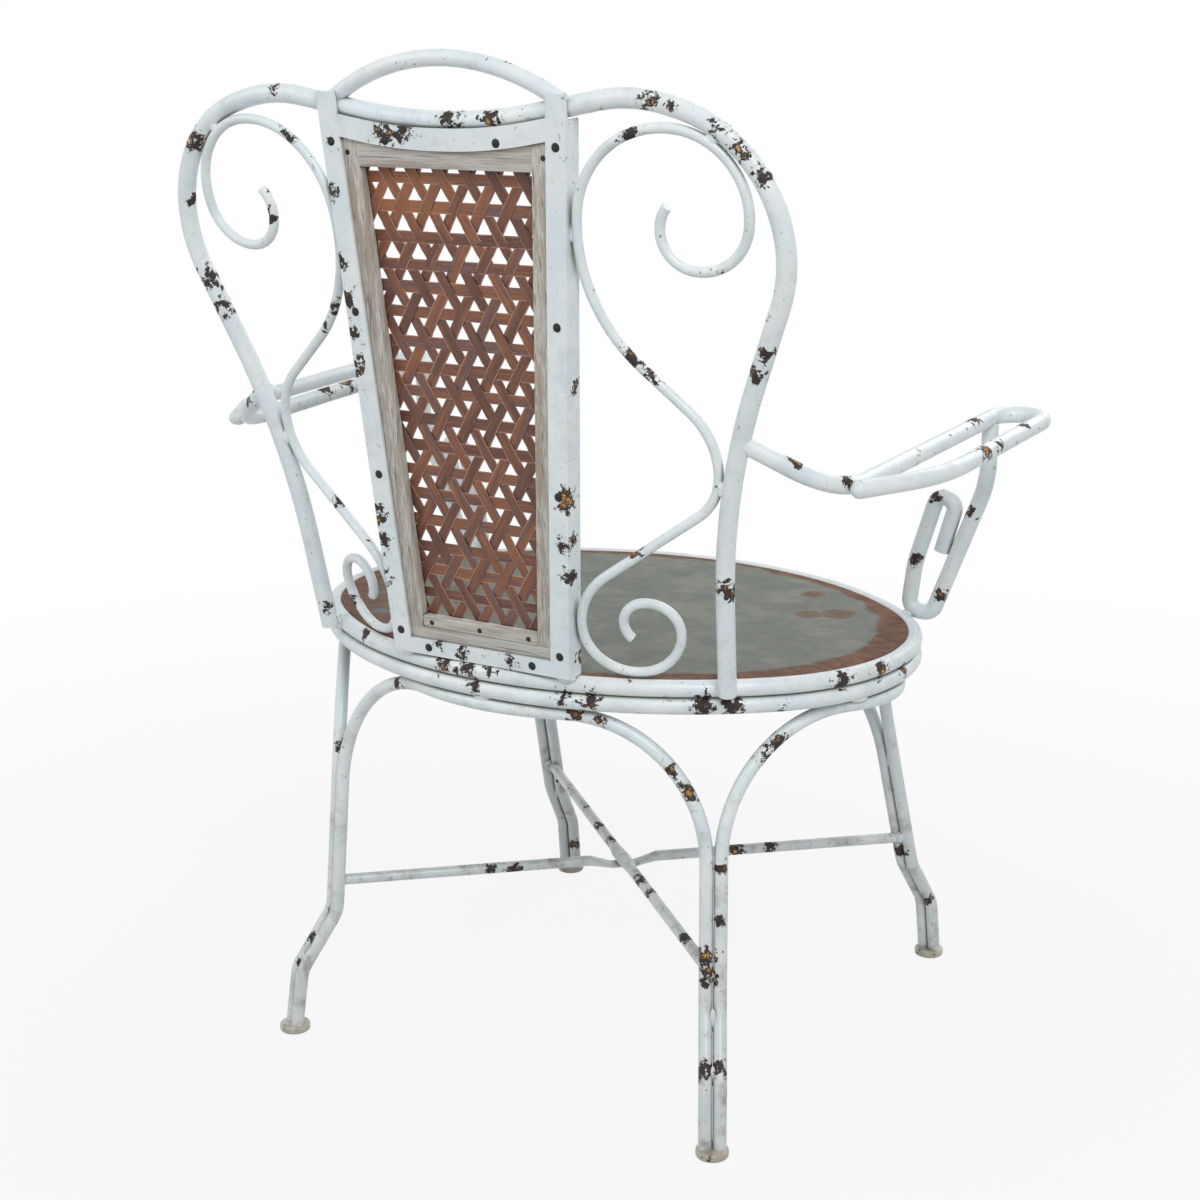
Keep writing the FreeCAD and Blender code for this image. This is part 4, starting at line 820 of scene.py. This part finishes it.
@dataclass
class WeldBeads:
    """Beads of weld under the paint where rods meet, in metres.

    Each bead is its middle and its size as shares of the radius, and twins are mirrored in x for the other side.
    The lumps of a bead follow each other at equal turns round it, and their heights repeat after lump_cycle.
    """

    radius: float = 0.0062
    segments: int = 12
    rings: int = 8
    lumps: int = 5
    lump_turn: float = 1.9
    lump_tilt: float = 2.7
    lump_cone: float = 0.80
    lump_rise: float = 0.16
    lump_fall: float = 0.07
    lump_cycle: int = 3
    swing: float = 0.5
    swing_step: float = 2.1
    crease: float = 60.0
    dirt: float = 0.25
    limit: float = 0.52
    twins: Tuple[Tuple[Point, Point], ...] = (
        ((0.2210, 0.1720, 0.4245), (1.3, 0.7, 1.0)), ((0.0885, 0.2310, 0.4315), (1.7, 0.8, 0.7)),
        ((0.2395, 0.2160, 0.6200), (0.9, 0.9, 1.3)), ((0.2600, 0.2738, 0.9150), (1.1, 0.8, 1.1)),
        ((0.1230, 0.2690, 0.8349), (0.8, 0.7, 1.4)), ((0.1010, 0.2245, 0.4850), (0.8, 0.7, 1.2)),
        ((0.2600, 0.2155, 0.6625), (1.2, 1.1, 1.1)), ((0.3450, 0.1677, 0.6215), (1.3, 1.5, 1.2)),
        ((0.3390, -0.1370, 0.6310), (1.0, 1.0, 0.7)), ((0.2624, -0.1330, 0.4306), (1.1, 0.9, 0.8)),
        ((0.1170, 0.2800, 0.9410), (1.2, 0.9, 0.8)), ((0.3000, 0.0600, 0.4004), (0.8, 1.6, 0.6)),
        ((0.3000, -0.0600, 0.4004), (0.8, 1.6, 0.6)), ((0.2270, 0.2010, 0.1160), (0.55, 0.55, 1.8)),
        ((0.2400, 0.2242, 0.0730), (0.55, 0.55, 1.6)), ((0.2284, -0.2340, 0.1200), (0.55, 0.55, 1.8)),
        ((0.2200, -0.1920, 0.2550), (0.6, 0.6, 1.8)), ((0.2203, 0.1875, 0.1550), (1.0, 1.0, 1.0)),
        ((0.2260, -0.2165, 0.1570), (1.0, 1.0, 1.0)),
    )
    middles: Tuple[Tuple[Point, Point], ...] = (
        ((0.0, 0.2360, 0.4004), (1.6, 0.8, 0.6)), ((0.0, -0.2360, 0.4004), (1.6, 0.8, 0.6)),
        ((0.0, -0.0129, 0.1521), (1.1, 1.1, 0.5)),
    )

    def _bead(self) -> bpy.types.Object:
        """Shape one uneven bead at the origin.

        Returns:
            The bead.
        """
        bpy.ops.mesh.primitive_uv_sphere_add(segments=self.segments, ring_count=self.rings, radius=self.radius)
        bead = bpy.context.object
        for lump in range(self.lumps):
            turn = lump * self.lump_turn
            towards = Vector((math.cos(turn), math.sin(turn), math.sin(lump * self.lump_tilt))).normalized()

            def facing(place: Vector, towards: Vector = towards) -> bool:
                """Whether a vertex faces this way."""
                return place.normalized().dot(towards) > self.lump_cone
            pick(bead, facing)
            rise = self.lump_rise - self.lump_fall * (lump % self.lump_cycle)
            bpy.ops.transform.translate(value=towards * self.radius * rise)
            bpy.ops.object.mode_set(mode="OBJECT")
        modify(bead, "SUBSURF", levels=1, render_levels=1)
        return bead

    def build(self) -> None:
        """Lay the beads and attach them to the chair as one piece."""
        bead = self._bead()
        spots = list(self.middles)
        for (x, y, z), size in self.twins:
            spots += [((x, y, z), size), ((-x, y, z), size)]
        beads = []
        for number, (place, size) in enumerate(spots):
            laid = copy_of(bead, "bead_%d" % number)
            turned = Matrix.Rotation(self.swing * math.sin(number * self.swing_step), 4, "Z")
            laid.matrix_world = Matrix.Translation(place) @ turned @ Matrix.Diagonal((*size, 1.0))
            settle(laid)
            beads.append(laid)
        bpy.data.objects.remove(bead)
        welds = join(beads, "weld_beads")
        smooth(welds, self.crease)
        dress(welds, ChippedPaint("chipped_paint_welds", dirt=self.dirt, limit=self.limit).build())
        hand_in(welds, "painted_rod")


class Strand(Enum):
    """The three directions of the cane, as its way along a row of crossings for each row down."""

    LEVEL = 0
    RISING = -1
    FALLING = 1

    def layer(self, row: int) -> int:
        """Layer of a strip at a row of crossings: the slanted strips take turns in front.

        Args:
            row: number of the row, counted downwards.

        Returns:
            0 in front, 1 in the middle or 2 at the back of the panel.
        """
        if self is Strand.LEVEL:
            return 1
        return 2 if (row % 2 == 0) == (self is Strand.RISING) else 0


@dataclass
class CaneBack:
    """Wooden frame and woven cane of the back panel, in metres.

    The weave is laid in the upright XZ plane, with heights along the panel, and is then turned into the panel's
    plane, which leans back. Rows are counted downwards from the top one.
    """

    plane_back: float = 0.23544
    plane_rise: float = 0.41665
    lean: float = math.radians(5.42302)
    wood_thickness: float = 0.009
    merge: float = 0.00001
    flat_angle: float = math.radians(0.5)
    edge_angle: float = math.radians(40)
    edge_width: float = 0.0010
    edge_segments: int = 2
    wood_crease: float = 35.0
    cane_crease: float = 50.0
    low: float = 0.0545
    high: float = 0.469
    half_low: float = 0.06443
    half_high: float = 0.09048
    pitch: float = 0.0241
    across: float = 0.0285
    top_drop: float = 0.0078
    shift: float = 0.010
    drift: float = 0.007
    sag: float = 0.0018
    slip: float = 0.0042
    slip_row: float = 2.1
    slip_rows: float = 1.5
    level_wobble: float = 0.0004
    level_slant: float = 0.00012
    slant_wobble: float = 0.0007
    lap: float = 0.007
    strip_width: float = 0.0106
    width_wobble: float = 0.05
    wobble_step: float = 2.3
    sway_step: float = 1.7
    strip_thickness: float = 0.00052
    layer: float = 0.00058
    cane_space: float = 0.0003
    cells: int = 24
    cells_before: int = 3
    level_before: float = 10.0
    parts: int = 8
    parts_across: int = 4
    flat_share: float = 0.26
    texture_rim: float = 0.005
    boards: Dict[str, Grain] = field(default_factory=lambda: {
        "wood_stile_left": Grain.UPRIGHT, "wood_stile_right": Grain.UPRIGHT, "wood_rail_top": Grain.ACROSS,
        "wood_rail_bottom": Grain.ACROSS, "wood_strip_bottom": Grain.ACROSS})

    def build(self) -> None:
        """Make the wooden frame and the cane."""
        self._wood()
        self._cane()

    def _wood(self) -> None:
        """Copies of the boards with worn, rounded edges."""
        woods = {grain: WeatheredWood("weathered_wood_" + grain.name.lower(), grain).build() for grain in Grain}
        for node, grain in self.boards.items():
            board = copy_of(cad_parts[node], node + "_worn")
            edit_all(board)
            bpy.ops.mesh.remove_doubles(threshold=self.merge)
            bpy.ops.mesh.dissolve_limited(angle_limit=self.flat_angle)
            bpy.ops.object.mode_set(mode="OBJECT")
            modify(board, "BEVEL", width=self.edge_width, segments=self.edge_segments, limit_method="ANGLE",
                   angle_limit=self.edge_angle)
            smooth(board, self.wood_crease)
            board.data.materials.clear()
            dress(board, woods[grain])
            hand_in(board, "weathered_wood", node)

    def _crossing(self, row: float, place: float) -> Vector:
        """Find a crossing of slanted strips.

        Args:
            row: its row.
            place: its place in the row, counted from the middle.

        Returns:
            The point in the upright XZ plane.
        """
        rise = self.high - self.top_drop - row * self.pitch
        aside = self.shift + self.drift * (rise - self.low) / (self.high - self.low)
        return Vector((place * self.across - aside, 0.0, rise))

    def _dip(self, row: int) -> float:
        """How far a level strip has slipped down: the upper ones most."""
        slipped = self.slip * math.exp(-((row - self.slip_row) / self.slip_rows) ** 2)
        return self.sag + slipped + self.level_wobble * math.sin(row * self.wobble_step)

    def _strip(self, strand: Strand, number: int, spacing: float) -> bpy.types.Object:
        """One strip along X, waved over and under the others, with its first crossing at the origin.

        Args:
            strand: its direction.
            number: its number, for its texture and its width.
            spacing: from one crossing to the next.

        Returns:
            The strip in the upright XZ plane.
        """
        bpy.ops.mesh.primitive_grid_add(x_subdivisions=self.cells * self.parts, y_subdivisions=self.parts_across,
                                        size=1.0)
        strip = bpy.context.object
        length = self.cells * spacing
        for corner in strip.data.uv_layers.active.data:
            rim = self.texture_rim
            corner.uv = (corner.uv.x * length, number + rim + (1 - 2 * rim) * corner.uv.y)
        width = self.strip_width * (1 + self.width_wobble * math.sin(number * self.wobble_step))
        edit_all(strip)
        bpy.ops.transform.resize(value=(length, width, 1.0))
        bpy.ops.transform.rotate(value=math.pi / 2, orient_axis="X", center_override=(0.0, 0.0, 0.0))
        bpy.ops.transform.translate(value=((self.cells / 2 - self.cells_before) * spacing, 0.0, 0.0))
        bpy.ops.object.mode_set(mode="OBJECT")

        def level(place: Vector) -> int:
            """Layer of a vertex: flat over each crossing, the middle one between two of them."""
            row = round(place.x / spacing)
            return strand.layer(row) if abs(place.x / spacing - row) < self.flat_share else 1
        for layer in (1, 2):
            pick(strip, lambda place, layer=layer: level(place) == layer)
            bpy.ops.transform.translate(value=(0.0, layer * self.layer, 0.0))
            bpy.ops.object.mode_set(mode="OBJECT")
        return strip

    def _lay(self, strand: Strand, index: int, number: int) -> bpy.types.Object:
        """Make a strip, turn it to its direction and cut it to the opening.

        Args:
            strand: its direction.
            index: row of a level strip, or place of a slanted one in the top row.
            number: its number in the whole weave.

        Returns:
            The strip in its place.
        """
        if strand is Strand.LEVEL:
            start = self._crossing(index, index % 2 / 2 - self.level_before) - Vector((0.0, 0.0, self._dip(index)))
            onwards = Vector((self.across, 0.0, self.level_slant * math.sin(index * self.sway_step)))
        else:
            sway = self.slant_wobble * math.sin(number * self.sway_step)
            start = self._crossing(0, index) + Vector((sway, 0.0, 0.0))
            onwards = self._crossing(1, index + strand.value / 2) - self._crossing(0, index)
        strip = self._strip(strand, number, onwards.length)
        strip.matrix_world = Matrix.Translation(start) @ Matrix.Rotation(math.atan2(-onwards.z, onwards.x), 4, "Y")
        settle(strip)
        slope = (self.half_high - self.half_low) / (self.high - self.low)
        edge = self.half_low + self.lap
        cuts = (
            ((0.0, 0.0, self.low - self.lap), (0.0, 0.0, -1.0)),
            ((0.0, 0.0, self.high + self.lap), (0.0, 0.0, 1.0)),
            ((edge, 0.0, self.low), (1.0, 0.0, -slope)),
            ((-edge, 0.0, self.low), (-1.0, 0.0, -slope)),
        )
        for place, outwards in cuts:
            edit_all(strip)
            bpy.ops.mesh.bisect(plane_co=place, plane_no=outwards, clear_outer=True)
            bpy.ops.object.mode_set(mode="OBJECT")
        return strip

    def _spans(self) -> Dict[Strand, range]:
        """Count the strips of each direction that can reach the opening.

        Returns:
            The rows of the level strips and the top row's places of the slanted ones.
        """
        rows = int((self.high - self.top_drop - self.low) / self.pitch) + 2
        most = int(self.half_high / self.across) + 1
        return {Strand.LEVEL: range(-1, rows), Strand.RISING: range(-most, most + rows // 2 + 1),
                Strand.FALLING: range(-most - rows // 2, most + 1)}

    def _cane(self) -> None:
        """Weave the three directions, a mesh for each."""
        finish = StainedCane().build()
        depth = self.wood_thickness + self.cane_space + 2 * self.layer + self.strip_thickness / 2
        number = 0
        for strand, span in self._spans().items():
            strips = []
            for index in span:
                number += 1
                strip = self._lay(strand, index, number)
                if strip.data.polygons:
                    strips.append(strip)
                else:
                    bpy.data.objects.remove(strip)
            cloth = join(strips, "cane_" + strand.name.lower())
            modify(cloth, "SOLIDIFY", thickness=self.strip_thickness, offset=0.0)
            tilt = Matrix.Rotation(-self.lean, 4, "X")
            cloth.matrix_world = (Matrix.Translation((0.0, self.plane_back, self.plane_rise)) @ tilt
                                  @ Matrix.Translation((0.0, -depth, 0.0)))
            settle(cloth)
            smooth(cloth, self.cane_crease)
            dress(cloth, finish)
            hand_in(cloth, "cane", *(["cane_panel"] if strand is Strand.LEVEL else []))


@dataclass(frozen=True)
class Lamp:
    """A square soft lamp, with its power in watts and its width in metres."""

    name: str
    place: Point
    power: float
    width: float


@dataclass
class Studio:
    """Camera, soft lamps, a pale floor and a white surround."""

    eye: Point = (-1.0896, 1.7749, 0.9952)
    target: Point = (0.0206, -0.0020, 0.4361)
    roll: float = math.radians(-0.25)
    lens: float = 63.78
    sensor: float = 36.0
    lamps: Tuple[Lamp, ...] = (
        Lamp("key_lamp", (-2.0, 2.2, 3.0), 62.0, 1.6),
        Lamp("fill_lamp", (2.4, 2.0, 2.2), 24.0, 2.0),
        Lamp("front_lamp", (-0.4, -2.8, 2.4), 30.0, 2.0),
    )
    lit: Point = (0.0, 0.0, 0.45)
    ambient: float = 0.42
    floor_width: float = 24.0
    floor_drop: float = 0.0004
    floor_colour: Colour = (0.66, 0.66, 0.66)
    fade_reach: Band = (0.5, 2.0)
    fade_white: Band = (0.86, 1.0)

    def build(self) -> None:
        """Set up the camera, the lamps, the floor and the world."""
        self._camera()
        self._lamps()
        self._floor()
        self._world()

    def _camera(self) -> None:
        """The camera at the photograph's viewing angle."""
        forward = (Vector(self.target) - Vector(self.eye)).normalized()
        right = forward.cross(Vector((0.0, 0.0, 1.0))).normalized()
        upward = right.cross(forward)
        right = right * math.cos(self.roll) + upward * math.sin(self.roll)
        upward = right.cross(forward)
        data = bpy.data.cameras.new("camera")
        data.lens = self.lens
        data.sensor_width = self.sensor
        camera = bpy.data.objects.new("camera", data)
        turned = Matrix((right, upward, -forward)).transposed().to_4x4()
        camera.matrix_world = Matrix.Translation(self.eye) @ turned
        bpy.context.scene.collection.objects.link(camera)
        bpy.context.scene.camera = camera

    def _lamps(self) -> None:
        """Large soft lamps round the chair, turned to its middle."""
        for lamp in self.lamps:
            data = bpy.data.lights.new(lamp.name, "AREA")
            data.energy = lamp.power
            data.size = lamp.width
            hung = bpy.data.objects.new(lamp.name, data)
            hung.location = lamp.place
            hung.rotation_euler = (Vector(self.lit) - Vector(lamp.place)).to_track_quat("-Z", "Y").to_euler()
            bpy.context.scene.collection.objects.link(hung)

    def _floor(self) -> None:
        """A pale floor that fades to white and keeps a faint shadow."""
        bpy.ops.mesh.primitive_plane_add(size=self.floor_width, location=(0.0, 0.0, -self.floor_drop))
        floor = bpy.context.object
        floor.name = "floor"
        recipe = Recipe(bpy.data.materials.new("pale_floor"))
        reach = recipe.node("ShaderNodeVectorMath", {"operation": "LENGTH"}, {0: recipe.place()}, "Value")
        fade = recipe.node("ShaderNodeMapRange", {}, {
            "Value": reach, "From Min": self.fade_reach[0], "From Max": self.fade_reach[1],
            "To Min": self.fade_white[0], "To Max": self.fade_white[1]})
        matt = recipe.node("ShaderNodeBsdfDiffuse", {}, {"Color": (*self.floor_colour, 1.0)})
        white = recipe.node("ShaderNodeEmission", {}, {"Color": WHITE, "Strength": 1.0})
        recipe.surface(recipe.node("ShaderNodeMixShader", {}, {0: recipe.seen() * fade, 1: matt, 2: white}))
        dress(floor, recipe.owner)

    def _world(self) -> None:
        """White where it is seen, an even light on the chair."""
        world = bpy.data.worlds.new("surround")
        bpy.context.scene.world = world
        recipe = Recipe(world)
        light, white = (recipe.node("ShaderNodeBackground", {}, {"Color": WHITE, "Strength": strength})
                        for strength in (self.ambient, 1.0))
        mixed = recipe.node("ShaderNodeMixShader", {}, {0: recipe.seen(), 1: light, 2: white})
        recipe.surface(mixed, "ShaderNodeOutputWorld")
        bpy.context.scene.view_settings.view_transform = "Standard"


def main() -> None:
    """Build the studio and the chair in order."""
    logging.basicConfig(level=logging.INFO)
    Studio().build()
    SteelFrame().build()
    WeldBeads().build()
    CaneBack().build()
    leave_all()


if __name__ == "__main__":
    main()
